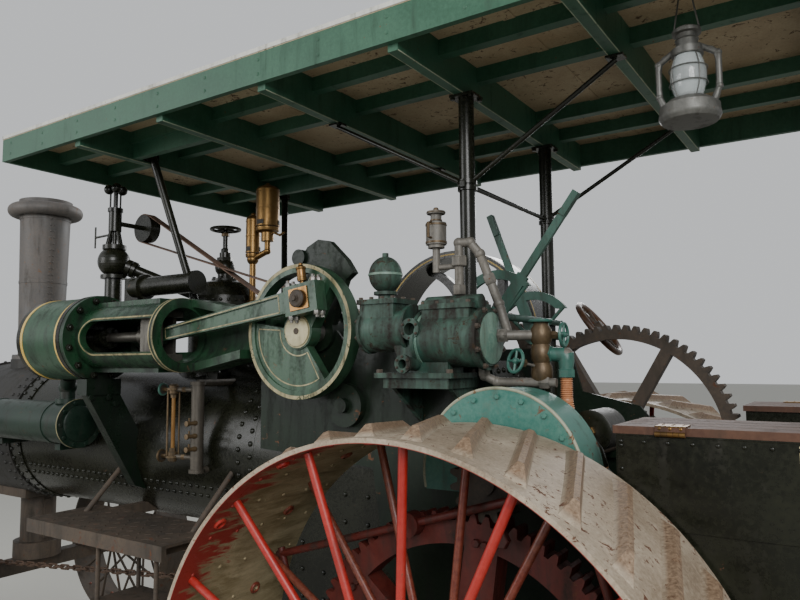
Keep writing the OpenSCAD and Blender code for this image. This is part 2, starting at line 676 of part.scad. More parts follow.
// Bored crosshead guide with its windows, the arm to the crankshaft and the front bracket
mouth_r = 168;
arm_low_x = 1215;
window_h = 150;
bracket_x = flange_x + 20;
module engine_frame() color([0.15, 0.28, 0.17]) place() {
    $fn = 96;
    difference() {
        union() {
            along_x(guide_x, engine_y, crank_z, guide_r, guide_len);
            along_x(guide_x, engine_y, crank_z, mouth_r, 34);
            along_x(flange_x - 30, engine_y, crank_z, cylinder_r + 6, 30);
            translate([guide_x + 120, engine_y - 40, crank_z + guide_bore]) cube([guide_len - 130, 80, 48]);
            translate([guide_x + 120, engine_y - 40, crank_z - guide_bore - 44])
                cube([guide_len - 130, 80, 44]);
        }
        along_x(guide_x - 1, engine_y, crank_z, guide_bore, guide_len + 2);
        // side windows with a round front end
        translate([guide_x + 45, 0, crank_z - window_h / 2]) cube([guide_len - 200, 1200, window_h]);
        along_y(guide_x + guide_len - 155, 0, crank_z, window_h / 2, 1200);
    }
    // open arm behind the mouth, with rolled top and bottom edges
    for (s = [-1, 1]) upright(0, wing_y + wing_t + run_gap, crank_z, 600 - wing_y - wing_t)
        polygon([[guide_x + 4, s * mouth_r], [guide_x + 4, s * (guide_bore + 8)], [arm_low_x, s * 70],
            [arm_low_x, s * 108]]);
    upright(0, wing_y + wing_t + run_gap, crank_z, 26)
        polygon([[guide_x + 4, mouth_r - 10], [guide_x + 4, 10 - mouth_r], [arm_low_x + 2, -100], [1020, -90],
            [1020, 70], [arm_low_x + 2, 100]]);
    // half-round wall that carries the bore on behind the mouth, on its far side
    intersection() {
        difference() {
            along_x(arm_low_x, engine_y, crank_z, guide_bore + 24, guide_x - arm_low_x + 6);
            along_x(arm_low_x - 1, engine_y, crank_z, guide_bore + 10, guide_x - arm_low_x + 8);
        }
        upright(0, wing_y + wing_t + run_gap, crank_z, 600 - wing_y - wing_t)
            polygon([[guide_x + 8, mouth_r], [guide_x + 8, -mouth_r], [arm_low_x, -108], [arm_low_x, 108]]);
    }
    // cast bracket from the guide's front end down to the barrel
    difference() {
        union() {
            translate([bracket_x - 50, engine_y - 110, crank_z - cylinder_r - 75]) cube([80, 190, 80]);
            translate([bracket_x - 40, 0, 0]) rotate([90, 0, 90]) linear_extrude(56)
                polygon([[engine_y + 70, crank_z - cylinder_r - 70],
                    [engine_y - 110, crank_z - cylinder_r - 70],
                    [330, boiler_z - 60], [330, boiler_z - 240], [430, boiler_z - 200]]);
        }
        along_x(barrel_front - 1500, 0, boiler_z, boiler_r + run_gap, 2000);
        along_x(flange_x, engine_y, crank_z, cylinder_r + 9, 400);
    }
}
// Crosshead with shoes top and bottom, its pin and the piston rod
shoe_len = 170;
cross_pin_r = 20;
small_end_w = 46;
piston_rod_len = 465;
module crosshead() color([0.3, 0.29, 0.27]) place() translate([cross_x, engine_y, crank_z]) {
    difference() {
        union() {
            intersection() {
                along_x(-shoe_len / 2, 0, 0, guide_bore - run_gap, shoe_len);
                union() for (s = [-1, 1]) translate([-shoe_len / 2, -62, s * 105 - 20])
                    cube([shoe_len, 124, 40]);
            }
            for (s = [-1, 1]) translate([-58, s * (small_end_w / 2 + pivot_gap + 9) - 9, -100])
                cube([116, 18, 200]);
            translate([58 - 1, -small_end_w / 2 - pivot_gap - 18, -100])
                cube([26, small_end_w + 2 * pivot_gap + 36, 200]);
        }
        translate([-200, -small_end_w / 2 - pivot_gap, -83]) cube([258, small_end_w + 2 * pivot_gap, 166]);
    }
    along_y(0, -small_end_w / 2 - pivot_gap - 28, 0, cross_pin_r, small_end_w + 2 * pivot_gap + 56);
    along_x(80, 0, 0, rod_r, piston_rod_len);
    along_x(82, 0, 0, rod_r + 16, 40);
}
// Tapered rod with recessed sides, and the bronze box that holds the crank pin
big_end_y = disc_face_y + 10;
big_end_w = 70;
rod_w = 38;
// columns of the big end's box: length along the rod and height
brass_box = [96, 88];
strap_t = 16;
strap_tail = 88;
module in_rod() translate([cross_x, 0, crank_z]) rotate([0, pin_angle, 0]) children();
module connecting_rod() color([0.14, 0.28, 0.17]) place() in_rod() difference() {
    union() {
        upright(0, engine_y - rod_w / 2, 0, rod_w)
            polygon([[-20, 30], [-20, -30], [72 - rod_len, -44], [72 - rod_len, 44]]);
        along_y(0, engine_y - small_end_w / 2, 0, 44, small_end_w);
        upright(0, big_end_y + 5, 0, big_end_w - 10) difference() {
            translate([-rod_len - strap_tail, -brass_box[1] / 2 - strap_t])
                square([strap_tail + 80, brass_box[1] + 2 * strap_t]);
            translate([-rod_len - brass_box[0] / 2, -brass_box[1] / 2]) square(brass_box);
        }
    }
    along_y(0, 0, 0, cross_pin_r + run_gap, 1000);
    for (y = [engine_y - rod_w / 2 - 1, engine_y + rod_w / 2 - 9]) upright(0, y, 0, 10)
        polygon([[-70, 18], [-70, -18], [120 - rod_len, -30], [120 - rod_len, 30]]);
}
// Bronze box with the end of the pin that the disc carries round, its cap and the oil cup
module crank_brasses() color([0.6, 0.42, 0.18]) place() in_rod() translate([-rod_len, 0, 0]) {
    translate([-brass_box[0] / 2 + run_gap, big_end_y, -brass_box[1] / 2 + run_gap])
        cube([brass_box[0] - 2 * run_gap, big_end_w, brass_box[1] - 2 * run_gap]);
    along_y(0, disc_face_y + disc_boss_h + run_gap, 0, 30,
        big_end_y + big_end_w + 10 - disc_face_y - disc_boss_h);
    translate([0, engine_y - 5, brass_box[1] / 2 + strap_t + run_gap]) {
        cylinder(r = 7, h = 16);
        translate([0, 0, 14]) cylinder(r = 18, h = 57);
        translate([0, 0, 70]) cylinder(r = 9, h = 14);
    }
}
// Crank disc with an arm to the pin and a solid balance sector
sector_half = 68;
sector_turn = -58;
disc_boss_h = 2;
module crank_disc() color([0.16, 0.3, 0.18]) place() difference() {
    union() {
        upright(crank_x, disc_face_y - disc_t, crank_z, disc_t) {
            difference() {
                circle(r = disc_r, $fn = 96);
                circle(r = disc_r - 36, $fn = 96);
            }
            circle(r = 76);
            rotate(crank_turn) translate([0, -58]) square([disc_r - 20, 116]);
        }
        upright(crank_x, disc_face_y - disc_t + 8, crank_z, disc_t - 14) intersection() {
            circle(r = disc_r - 20);
            polygon([[0, 0], for (a = [-sector_half, -30, 30, sector_half])
                420 * [cos(sector_turn + a), sin(sector_turn + a)]]);
        }
        along_y(crank_x, disc_face_y - 2, crank_z, 72, 2 + disc_boss_h);
        along_y(pin_x, disc_face_y - 2, pin_z, 40, 2 + disc_boss_h);
    }
    along_y(crank_x, disc_face_y - disc_t - 1, crank_z, shaft_r, disc_t - 20);
}
// Crankshaft with the valve eccentric and the governor's drive pulley
pulley_r = 78;
crank_pulley_r = 105;
belt_w = 54;
ecc_r = 92;
ecc_throw = 30;
ecc_y = 332;
module crankshaft() color([0.28, 0.27, 0.26]) place() {
    shaft_low = -(flywheel_y + flywheel_w - 10);
    along_y(crank_x, shaft_low, crank_z, shaft_r, disc_face_y - disc_t + 18 - shaft_low);
    along_y(crank_x, belt_y - belt_w / 2 - 5, crank_z, crank_pulley_r, belt_w + 10);
    along_y(crank_x + ecc_throw, ecc_y, crank_z, ecc_r, 40);
}
// Eccentric strap with its rod to the valve
module valve_rod() color([0.14, 0.15, 0.13]) place() translate([crank_x + ecc_throw, 0, crank_z]) {
    difference() {
        union() {
            along_y(0, ecc_y + 4, 0, ecc_r + 24, 32);
            upright(0, ecc_y + 8, 0, 24) polygon([[ecc_r - 10, 30], [ecc_r - 10, -30], [1160, 20],
                [1160, 44]]);
        }
        along_y(0, ecc_y - 10, 0, ecc_r + run_gap, 60);
    }
}
// Flywheel with a wide rim and curved arms
fly_arm_n = 6;
fly_rim_t = 36;
module flywheel() color([0.07, 0.07, 0.07]) place() translate([crank_x, -flywheel_y - flywheel_w,
    crank_z]) difference() {
    union() {
        difference() {
            upright(0, 0, 0, flywheel_w) circle(r = flywheel_r, $fn = 96);
            upright(0, -1, 0, flywheel_w + 2) circle(r = flywheel_r - fly_rim_t, $fn = 96);
        }
        along_y(0, 60, 0, 95, 170);
        upright(0, flywheel_w / 2 - 25, 0, 50) for (i = [0 : fly_arm_n - 1]) rotate(i * 360 / fly_arm_n)
            intersection() {
            difference() {
                translate([230, -200]) circle(r = 330);
                translate([245, -225]) circle(r = 300);
            }
            translate([0, 0]) square([flywheel_r - fly_rim_t + 6, flywheel_r]);
            circle(r = flywheel_r - fly_rim_t + 4);
        }
    }
    along_y(0, -10, 0, shaft_r, flywheel_w + 20);
}
// Governor on the valve chest, with its cross shaft and pulley
module governor() color([0.07, 0.07, 0.065]) place() translate([governor_x, governor_y, 0]) {
    ball_z = governor_ball_z;
    ball_r = governor_ball_r;
    foot_z = crank_z + 340 + run_gap;
    head_low = belt_z - 48;
    head_top = belt_z + 82;
    // valve body, collar, head and spindle in one turned shape
    rotate_extrude() polygon(concat(
        [[0, foot_z], [68, foot_z], [68, foot_z + 20], [44, foot_z + 24]],
        [for (a = [-50 : 10 : 50]) [ball_r * cos(a), ball_z + ball_r * sin(a)]],
        [[62, ball_z + 68], [62, ball_z + 92], [12, ball_z + 92], [12, head_low], [34, head_low],
            [34, belt_z + 62],
            [40, belt_z + 62], [40, head_top], [12, head_top], [12, head_top + 120], [0, head_top + 120]]));
    bar([0, 0, ball_z] - feed_dir * 40, [0, 0, ball_z] - feed_dir * (ball_r + 12), 92);
    for (a = [0 : 90 : 270]) bar([48 * cos(a), 48 * sin(a), ball_z + 80],
        [23 * cos(a), 23 * sin(a), belt_z - 38], 18);
    for (a = [30 : 120 : 270]) {
        translate([30 * cos(a), 30 * sin(a), head_top - 10]) cylinder(r = 5, h = 110);
        translate([40 * cos(a), 40 * sin(a), head_top + 108]) sphere(r = 27);
    }
    along_y(0, belt_y - governor_y - belt_w / 2 - 14, belt_z, 13, governor_y - belt_y + 30);
    along_y(0, belt_y - governor_y - belt_w / 2 - 5, belt_z, pulley_r, belt_w + 10);
    bar([0, 0, belt_z - 60], [150, 20, belt_z - 70], 12);
    bar([150, 20, belt_z - 130], [150, 20, belt_z - 10], 10);
}
// Flat belt from the crankshaft to the governor, crossed between its pulleys
belt_t = 6;
// Points on a pulley's far side, between the places where the two runs leave it
function wrap_points(r, half_span) = [for (i = [0 : 32]) r * [cos(180 - half_span + i * half_span / 16),
    sin(180 - half_span + i * half_span / 16)]];
module governor_belt() color([0.3, 0.2, 0.13]) place() {
    run = [governor_x - crank_x, belt_z - crank_z];
    low = crank_pulley_r + run_gap;
    high = pulley_r + run_gap;
    half = asin((low + high + belt_t) / norm(run));
    far = [norm(run), 0];
    // half height of the waist where the runs cross
    waist = [(low + belt_t / 2) / sin(half), belt_t / 2 / cos(half)];
    translate([crank_x, belt_y + belt_w / 2, crank_z]) rotate([90, 0, 0]) linear_extrude(belt_w)
        rotate(atan2(run[1], run[0])) difference() {
            polygon(concat(wrap_points(low + belt_t, 90 + half), [[waist[0], -waist[1]]],
                [for (q = wrap_points(high + belt_t, 90 + half)) far - q], [waist]));
            polygon(concat(wrap_points(low, 90 + half), [[low / sin(half), 0]]));
            polygon(concat([for (q = wrap_points(high, 90 + half)) far - q],
                [far - [high / sin(half), 0]]));
        }
}
// Steam dome with the throttle valve on it and the steam pipe to the governor
governor_ball_r = 85;
feed_port = [dome_x + 110, 105, dome_top - 80];
feed_end = [governor_x, governor_y, governor_ball_z];
feed_dir = (feed_end - feed_port) / norm(feed_end - feed_port);
throttle_z = 2442;
module steam_dome() color([0.08, 0.09, 0.075]) place() {
    difference() {
        union() {
            translate([dome_x, 0, 0]) rotate_extrude($fn = 64)
                polygon([[0, boiler_z], [dome_r, boiler_z], [dome_r, dome_top - 90],
                    [dome_r - 18, dome_top - 44],
                    [dome_r - 62, dome_top - 12], [dome_r - 100, dome_top], [0, dome_top]]);
            translate([dome_x, 0, boiler_z]) cylinder(r = dome_r + 45, h = boiler_r + 22);
        }
        along_x(dome_x - 500, 0, boiler_z, boiler_r + run_gap, 1000);
    }
    bar(feed_port, feed_end - feed_dir * (governor_ball_r + 12 + run_gap), 62);
    translate([dome_x, 0, dome_top - 10]) cylinder(r = 74, h = 26);
    translate([dome_x, 0, dome_top]) cylinder(r = 40, h = throttle_z - dome_top);
    translate([dome_x, 0, throttle_z]) sphere(r = 56);
    translate([dome_x, 0, throttle_z + 40]) cylinder(r = 32, h = 44);
    translate([dome_x, 0, throttle_z]) cylinder(r = 14, h = 214);
    translate([dome_x, 0, throttle_z + 220]) valve_wheel(80, 16, 10);
}
// Whistles: a riser from the dome's back, with a small bell on it and a large one behind
whistle_x = dome_x - dome_r - 25;
whistle_big_x = whistle_x - 110;
whistle_z = 2470;
// columns of a bell: place, its lower rim, radius, height
bells = [[whistle_x, 2506, 39, 187], [whistle_big_x, 2640, 63, 205]];
module whistle() color([0.55, 0.42, 0.2]) place() {
    pipe([[dome_x - dome_r - run_gap, 0, 2230], [whistle_x, 0, 2230], [whistle_x, 0, whistle_z]], 36);
    translate([whistle_x, 0, whistle_z]) sphere(r = 32);
    pipe([[whistle_x, 0, whistle_z], [whistle_big_x, 0, whistle_z + 36], [whistle_big_x, 0, 2570]], 32);
    translate([whistle_big_x, 0, 2560]) cylinder(r = 34, h = 60);
    for (b = bells) translate([b[0], 0, b[1]]) {
        translate([0, 0, -50]) cylinder(r = 10, h = b[3] + 74);
        translate([0, 0, -22]) cylinder(r = b[2] - 3, h = 14);
        cylinder(r = b[2], h = b[3]);
        translate([0, 0, b[3] + 24]) sphere(r = 15);
    }
    // wavy lever of the large whistle
    pipe([[whistle_big_x, 0, 2586], [whistle_big_x - 60, 12, 2600], [whistle_big_x - 110, 20, 2580],
        [whistle_big_x - 150, 26, 2590]], 12);
}
// Feedwater heater beside the barrel, with the exhaust elbow above it
heater_y = 568;
heater_z = 1588;
heater_r = 112;
heater_len = 1250;
module feedwater_heater() color([0.15, 0.23, 0.15]) place() {
    heater_x = bracket_x + 260;
    difference() {
        union() {
            along_x(heater_x, heater_y, heater_z, heater_r, heater_len);
            along_x(heater_x - 14, heater_y, heater_z, heater_r + 16, 26);
            along_x(heater_x + heater_len - 12, heater_y, heater_z, heater_r + 16, 26);
            for (x = [heater_x + 160, heater_x + 760]) translate([x, 380, heater_z - 150])
                cube([50, 190, 60]);
            pipe([[heater_x + 110, heater_y, heater_z + heater_r - 20],
                [heater_x + 110, heater_y, heater_z + 190],
                [heater_x + 30, engine_y - 30, crank_z - cylinder_r + 20]], 76);
            translate([heater_x + 110, heater_y, heater_z + heater_r - 8]) cylinder(r = 60, h = 24);
        }
        along_x(barrel_front - 1000, 0, boiler_z, boiler_r + run_gap, 1001);
        along_x(barrel_front - 1, 0, boiler_z, smokebox_r + run_gap, 1000);
        along_x(flange_x, engine_y, crank_z, cylinder_r + run_gap, 480);
    }
}
// Water column and gauge glass on the barrel's left side
column_x = 1620;
glass_x = 1770;
module gauge_glasses() color([0.3, 0.26, 0.2]) place() {
    translate([column_x, 480, 1400]) cylinder(r = 30, h = 400);
    translate([column_x, 480, 1386]) cylinder(r = 37, h = 16);
    translate([column_x, 480, 1798]) cylinder(r = 37, h = 16);
    difference() {
        union() {
            along_y(column_x, 330, 1394, 17, 150);
            along_y(column_x, 200, 1806, 17, 280);
        }
        along_x(firebox_front, 0, boiler_z, boiler_r + run_gap, 1000);
    }
    for (z = [1455, 1775]) {
        bar([column_x, 480, z], [glass_x, 500, z], 22);
        translate([glass_x, 500, z - 22]) cylinder(r = 20, h = 44);
        bar([glass_x, 500, z], [glass_x + 72, 510, z], 14);
        translate([glass_x + 66, 509, z]) rotate([0, 90, 8]) cylinder(r = 27, h = 9, $fn = 24);
    }
    translate([glass_x, 500, 1450]) cylinder(r = 9, h = 330);
    for (a = [45, 225]) translate([glass_x + 27 * cos(a), 500 + 27 * sin(a), 1450])
        cylinder(r = 4, h = 330);
    for (z = [1450, 1775]) translate([glass_x, 500, z]) cylinder(r = 32, h = 8);
    for (z = [1500, 1560, 1620]) along_y(column_x - 14, 490, z, 9, 55);
}
// Steam-driven boiler feed pump: water end in front, steam end behind
pump_y = 600;
pump_z = 1978;
pump_front = 520;
pump_rear = 10;
pump_base_z = 1843;
water_z = 2020;
chamber_x = 446;
// columns of a port: place along X, its outer face, height, radius
pump_ports = [[276, 702, 2014, 38], [280, 742, 1893, 32]];
module steam_pump() color([0.22, 0.36, 0.3]) place() {
    knee_y = wing_y + wing_t + run_gap;
    difference() {
        union() {
            along_x(pump_front - 200, pump_y, water_z, 83, 190);
            along_x(pump_front - 12, pump_y, water_z, 89, 12);
            along_x(pump_front - 204, pump_y, water_z, 89, 16);
            translate([chamber_x - 82, pump_y - 72, water_z]) cube([150, 144, 98]);
            translate([chamber_x - 90, pump_y - 80, water_z + 92]) cube([166, 160, 18]);
            translate([chamber_x, pump_y, water_z + 100]) cylinder(r = 28, h = 70);
            translate([chamber_x, pump_y, water_z + 130]) cylinder(r = 44, h = 12);
            translate([chamber_x, pump_y, 2226]) scale([1, 1, 1.1]) sphere(r = 63);
            translate([chamber_x, pump_y, 2286]) cylinder(r = 12, h = 22);
            // waist between the two ends, and its foot
            upright(0, pump_y - 56, 0, 112) polygon([[360, 2060], [372, 1950], [350, 1900],
                [350, pump_base_z + 15],
                [150, pump_base_z + 15], [150, 1900], [130, 1930], [200, 2030]]);
            translate([120, pump_y - 105, pump_base_z]) cube([320, 190, 18]);
            along_x(pump_rear + 26, pump_y, pump_z, 98, 232);
            along_x(pump_rear + 10, pump_y, pump_z, 108, 20);
            along_x(pump_rear, pump_y, pump_z, 94, 12);
            along_x(pump_rear + 250, pump_y, pump_z, 106, 14);
            translate([60, pump_y - 78, pump_z + 60]) cube([186, 146, 76]);
            translate([52, pump_y - 86, pump_z + 104]) cube([202, 162, 18]);
            along_x(44, pump_y, pump_z + 124, 30, 214);
            for (p = pump_ports) {
                along_y(p[0], pump_y + 50, p[2], p[3] - 8, p[1] - pump_y - 50);
                along_y(p[0], p[1] - 14, p[2], p[3], 14);
            }
            translate([140, knee_y, pump_base_z - 36]) cube([270, pump_y + 70 - knee_y, 36.1]);
            for (x = [150, 384]) translate([x, 0, 0]) rotate([90, 0, 90]) linear_extrude(16)
                polygon([[knee_y, pump_base_z - 30], [knee_y, pump_base_z - 170],
                    [pump_y + 40, pump_base_z - 30]]);
        }
        for (p = pump_ports) along_y(p[0], p[1] - 40, p[2], p[3] - 16, 60);
    }
}
// Steam, feed and drain pipes at the pump, with their valves
valve_col_x = -135;
valve_col_y = 520;
valve_top_z = 1987;
riser_x = 131;
riser_top = 2316;
oiler_x = 223;
oiler_z = 2235;
module pump_pipes() color([0.28, 0.24, 0.2]) place() {
    // steam pipe up from the pump's chest, over and down to the valves, with the oiler's branch
    pipe([[riser_x, pump_y, pump_z + 154 + run_gap], [riser_x, pump_y, riser_top], [92, 590, riser_top],
        [59, 580, 2273], [4, 550, 2098], [-36, 561, valve_top_z]], 32);
    translate([riser_x, pump_y, 2236]) cylinder(r = 25, h = 34, $fn = 8);
    bar([riser_x, pump_y, oiler_z], [oiler_x - oiler_stem_r - run_gap, pump_y, oiler_z], 20);
    // pipe from the rear cover to the column of valves
    pipe([[pump_rear - run_gap, pump_y - 20, valve_top_z], [pump_rear - 30, pump_y - 20, valve_top_z],
        [valve_col_x, valve_col_y, valve_top_z]], 34);
    translate([valve_col_x, valve_col_y, 1835]) cylinder(r = 20, h = valve_top_z - 1835);
    for (z = [1863, 1925, valve_top_z]) translate([valve_col_x, valve_col_y, z]) sphere(r = 34);
    translate([valve_col_x, valve_col_y, valve_top_z + 48]) valve_wheel(36, 9, 40);
    translate([valve_col_x - 74, valve_col_y - 15, valve_top_z]) rotate([0, -90, 0]) valve_wheel(38, 9, 60);
    translate([valve_col_x + 50, valve_col_y + 100, 1901]) rotate([-78, 0, -27]) valve_wheel(38, 9, 110);
    pipe([[valve_col_x, valve_col_y, 1925], [-212, 500, 1918], [-212, 500, 1845]], 44);
    // drain from under the pump
    pipe([[60, 560, pump_z - 96], [60, 560, 1850], [20, 545, 1830], [-190, 530, 1828]], 30);
}
// Sight-feed oiler standing on the branch of the pump's steam pipe
oiler_stem_r = 14;
module lubricator() color([0.35, 0.34, 0.32]) place() translate([oiler_x, pump_y, 0]) {
    translate([0, 0, oiler_z - 18]) cylinder(r = oiler_stem_r, h = 104);
    translate([0, 0, 2306]) cylinder(r = 30, h = 14);
    translate([0, 0, 2318]) cylinder(r = 37, h = 80);
    translate([0, 0, 2396]) cylinder(r = 20, h = 36);
    translate([0, 0, 2430]) cylinder(r = 33, h = 10);
}
// Two hand levers on quadrants, on bars that lie against the canopy posts
lever_bar_d = 30;
lever_x = post_x - (post_d + lever_bar_d) / 2 - run_gap;
// columns of a lever: side, height of its bar, radius of its quadrant, lean in degrees, length
lever_sets = [[250, 2078, 180, -36.6, 560], [-100, 2012, 190, 19.7, 580]];
quadrant_w = 36;
quadrant_low = 110;
module control_levers() color([0.14, 0.27, 0.2]) place() for (s = lever_sets)
    translate([lever_x, 0, s[1]]) {
    along_y(0, -post_y - 30, 0, lever_bar_d / 2, 2 * post_y + 60);
    upright(0, s[0] - 9, 0, 18) {
        rotate(90 - s[3]) {
            translate([0, -24]) square([s[2] + 10, 48]);
            translate([s[2], -15]) square([s[4] - s[2] - 90, 30]);
        }
        circle(r = 40);
        difference() {
            circle(r = s[2]);
            circle(r = s[2] - quadrant_w);
            translate([-500, -500]) square([1000, 500 + quadrant_low]);
        }
    }
    upright(0, s[0] - 16, 0, 32) rotate(90 - s[3]) translate([s[4] - 100, -13]) square([100, 26]);
    // stays from the bar to the quadrant's ends
    for (x = [-1, 1]) bar([x * sqrt(s[2] * s[2] - quadrant_low * quadrant_low) * 0.9, s[0],
        quadrant_low + 6],
        [x * 26, s[0], 0], 16);
}
// Two short hoses held at both ends
module hoses() color([0.55, 0.3, 0.18]) place() {
    plate_face = wing_y + wing_t + run_gap;
    pipe([[-212, 500, 1845 - run_gap], [-212, 500, 1770], [-222, 492, 1690], [-232, 480, 1590],
        [-234, plate_face + 26, 1540], [-234, plate_face, 1540]], 34);
    along_y(-264, wing_y - 180, 1664, 70, 180 - run_gap);
    pipe([[-264, wing_y - 10, 1664], [-268, plate_face + 30, 1660], [-306, plate_face + 34, 1612],
        [-320, plate_face + 28, 1560], [-314, plate_face + 22, 1540],
        [-314, plate_face, 1540]], 24);
}
// Boarded roof of the canopy
roof_edge_t = 24;
module canopy_roof() color([0.55, 0.5, 0.4]) place()
    translate([x_rear, -roof_half, roof_z]) cube([joist_x + roof_overhang - x_rear, 2 * roof_half, roof_t]);
// Cross joists, purlins, short headers and the edge boards
purlin_h = 60;
purlin_places = [-600, -300, 300, 600];
module canopy_frame() color([0.12, 0.26, 0.19]) place() {
    edge_h = 116;
    roof_len = joist_x + roof_overhang - x_rear;
    for (i = [0 : joist_n - 1]) translate([joist_x - i * joist_pitch - joist_t / 2,
        roof_edge_t - roof_half, joist_z])
        cube([joist_t, 2 * (roof_half - roof_edge_t), joist_h - run_gap]);
    for (y = purlin_places) translate([x_rear + roof_edge_t - 1, y - 22, roof_z - purlin_h])
        cube([roof_len - 2 * roof_edge_t + 2, 44, purlin_h - run_gap]);
    for (y = [585, -390]) translate([joist_x - joist_pitch, y - 18, joist_z + 6])
        cube([joist_pitch, 36, 100]);
    for (y = [-roof_half, roof_half - roof_edge_t]) translate([x_rear, y, roof_z - edge_h])
        cube([roof_len, roof_edge_t, edge_h - run_gap]);
    for (x = [x_rear, x_rear + roof_len - roof_edge_t]) translate([x, -roof_half + 1, roof_z - edge_h])
        cube([roof_edge_t, 2 * roof_half - 2, edge_h - run_gap]);
}
// Main posts, front braces and the long rods to the joists
tie_z = 2575;
module canopy_posts() color([0.09, 0.1, 0.09]) place() both() {
    post_joist_z = joist_z - run_gap;
    translate([post_x, post_y, 1470]) cylinder(d = post_d, h = post_joist_z - 1470);
    translate([post_x - 50, post_y - 45, post_joist_z - 10]) cube([100, 90, 10]);
    difference() {
        union() {
            bar([joist_x - 30, 500, joist_z + 60], [1742, 244, boiler_z + 340], 40);
            translate([1700, 200, boiler_z + 300]) cube([84, 90, 80]);
        }
        along_x(1600, 0, boiler_z, boiler_r + run_gap, 300);
        translate([dome_x, 0, boiler_z]) cylinder(r = dome_r + 50, h = 500);
        translate([joist_x - joist_t / 2 - run_gap, 0, joist_z - joist_h])
            cube([joist_h, roof_half, 2 * joist_h]);
    }
    translate([joist_x - joist_t / 2 - run_gap - 10, 455, joist_z + 10]) cube([10, 90, 110]);
    for (i = [2, 4]) {
        x = joist_x - i * joist_pitch;
        bar([post_x, post_y, tie_z], [x, 430, joist_z - 12], 18);
        translate([x - 30, 405, joist_z - 8 - run_gap]) cube([60, 50, 8]);
    }
    bar([post_x, -10, tie_z], [post_x, post_y, tie_z], 18);
}
// Platform floor on two channels, with the drawbar behind
module platform() color([0.13, 0.12, 0.11]) place() {
    rear = bunker_front - bunker_len - 60;
    translate([rear, -bunker_out, floor_z - 30]) cube([-385 - rear, 2 * bunker_out, 30 - run_gap]);
    translate([-390, -420, floor_z - 30]) cube([250, 840, 30 - run_gap]);
    both() translate([rear + 20, 340, floor_z - 110]) cube([-160 - rear, 90, 81]);
    translate([rear + 40, -340, floor_z - 108]) cube([60, 680, 79]);
    difference() {
        translate([rear - 75, -70, floor_z - 90]) cube([240, 140, 30]);
        translate([rear - 30, 0, floor_z - 100]) cylinder(r = 20, h = 60);
    }
    translate([rear - 6, -bunker_in, floor_z - 30]) cube([12, 2 * bunker_in, 330]);
}
// Fuel bunkers of plate, open at the top under their lids
bunker_rear = bunker_front - bunker_len;
module bunker(front) difference() {
    translate([bunker_rear, bunker_in, floor_z]) cube([front - bunker_rear, bunker_out - bunker_in,
        bunker_top - floor_z]);
    translate([bunker_rear + bunker_t, bunker_in + bunker_t, floor_z + bunker_t])
        cube([front - bunker_rear - 2 * bunker_t, bunker_out - bunker_in - 2 * bunker_t, bunker_top]);
}
module bunkers() color([0.09, 0.09, 0.08]) place() {
    bunker(bunker_front);
    mirror([0, 1, 0]) bunker(bunker_front_right);
}
// Wooden lid with strap hinges on its outer edge
lid_hinge_y = bunker_out + 9;
module bunker_lid(front) {
    translate([bunker_rear - 8, bunker_in - 10, bunker_top + run_gap])
        cube([front - bunker_rear + 16, bunker_out - bunker_in + 10, lid_t]);
    for (x = [front - 150, bunker_rear + 150]) {
        translate([x - 40, lid_hinge_y, bunker_top + 4]) rotate([0, 90, 0]) cylinder(r = 6, h = 80);
        translate([x - 40, bunker_out - 60, bunker_top + lid_t]) cube([80, 68, 4]);
        translate([x - 40, bunker_out, bunker_top + 4]) cube([80, 8, lid_t]);
    }
}
module bunker_lid_left() color([0.28, 0.17, 0.11]) place() bunker_lid(bunker_front);
module bunker_lid_right() color([0.28, 0.17, 0.11]) place() mirror([0, 1, 0])
    bunker_lid(bunker_front_right);
// Running board beside the barrel, with a lower step hung from it
board_z = 1156;
board_x = 1350;
module step_plate() color([0.16, 0.15, 0.14]) place() difference() {
    union() {
        translate([board_x, 500, board_z]) cube([1000, 380, 12]);
        translate([board_x, 856, board_z - 50]) cube([1000, 24, 51]);
        for (x = [board_x + 80, board_x + 880]) {
            translate([x, 200, board_z - 50]) cube([50, 660, 51]);
            bar([x + 25, 400, 1400], [x + 25, 640, board_z], 26);
        }
        for (x = [board_x + 80, board_x + 480], y = [630, 840]) bar([x, y, 868], [x, y, board_z], 20);
        translate([board_x + 60, 610, 858]) cube([440, 250, 12]);
    }
    along_x(board_x - 50, 0, boiler_z, boiler_r + run_gap, 1200);
}
// Lantern hung by two wires from a purlin
lantern_x = -650;
lantern_y = 600;
lantern_z = 2600;
module lantern() color([0.36, 0.36, 0.34]) place() translate([lantern_x, lantern_y, lantern_z]) {
    rotate_extrude() polygon([[0, 0], [80, 0], [86, 12], [84, 44], [60, 62], [36, 70], [0, 70]]);
    translate([0, 0, 70]) rotate_extrude() polygon([[0, 0], [34, 0], [50, 50], [50, 80], [36, 128],
        [0, 128]]);
    translate([0, 0, 198]) cylinder(r = 44, h = 22);
    translate([0, 0, 220]) cylinder(r = 30, h = 46);
    translate([0, 0, 266]) cylinder(r = 40, h = 12);
    for (s = [-1, 1]) pipe([[s * 62, 0, 40], [s * 84, 0, 90], [s * 84, 0, 190], [s * 30, 0, 226]], 18);
    for (s = [-1, 1]) bar([s * 38, 0, 268], [s * 14, 0, roof_z - purlin_h - lantern_z - run_gap], 5);
}

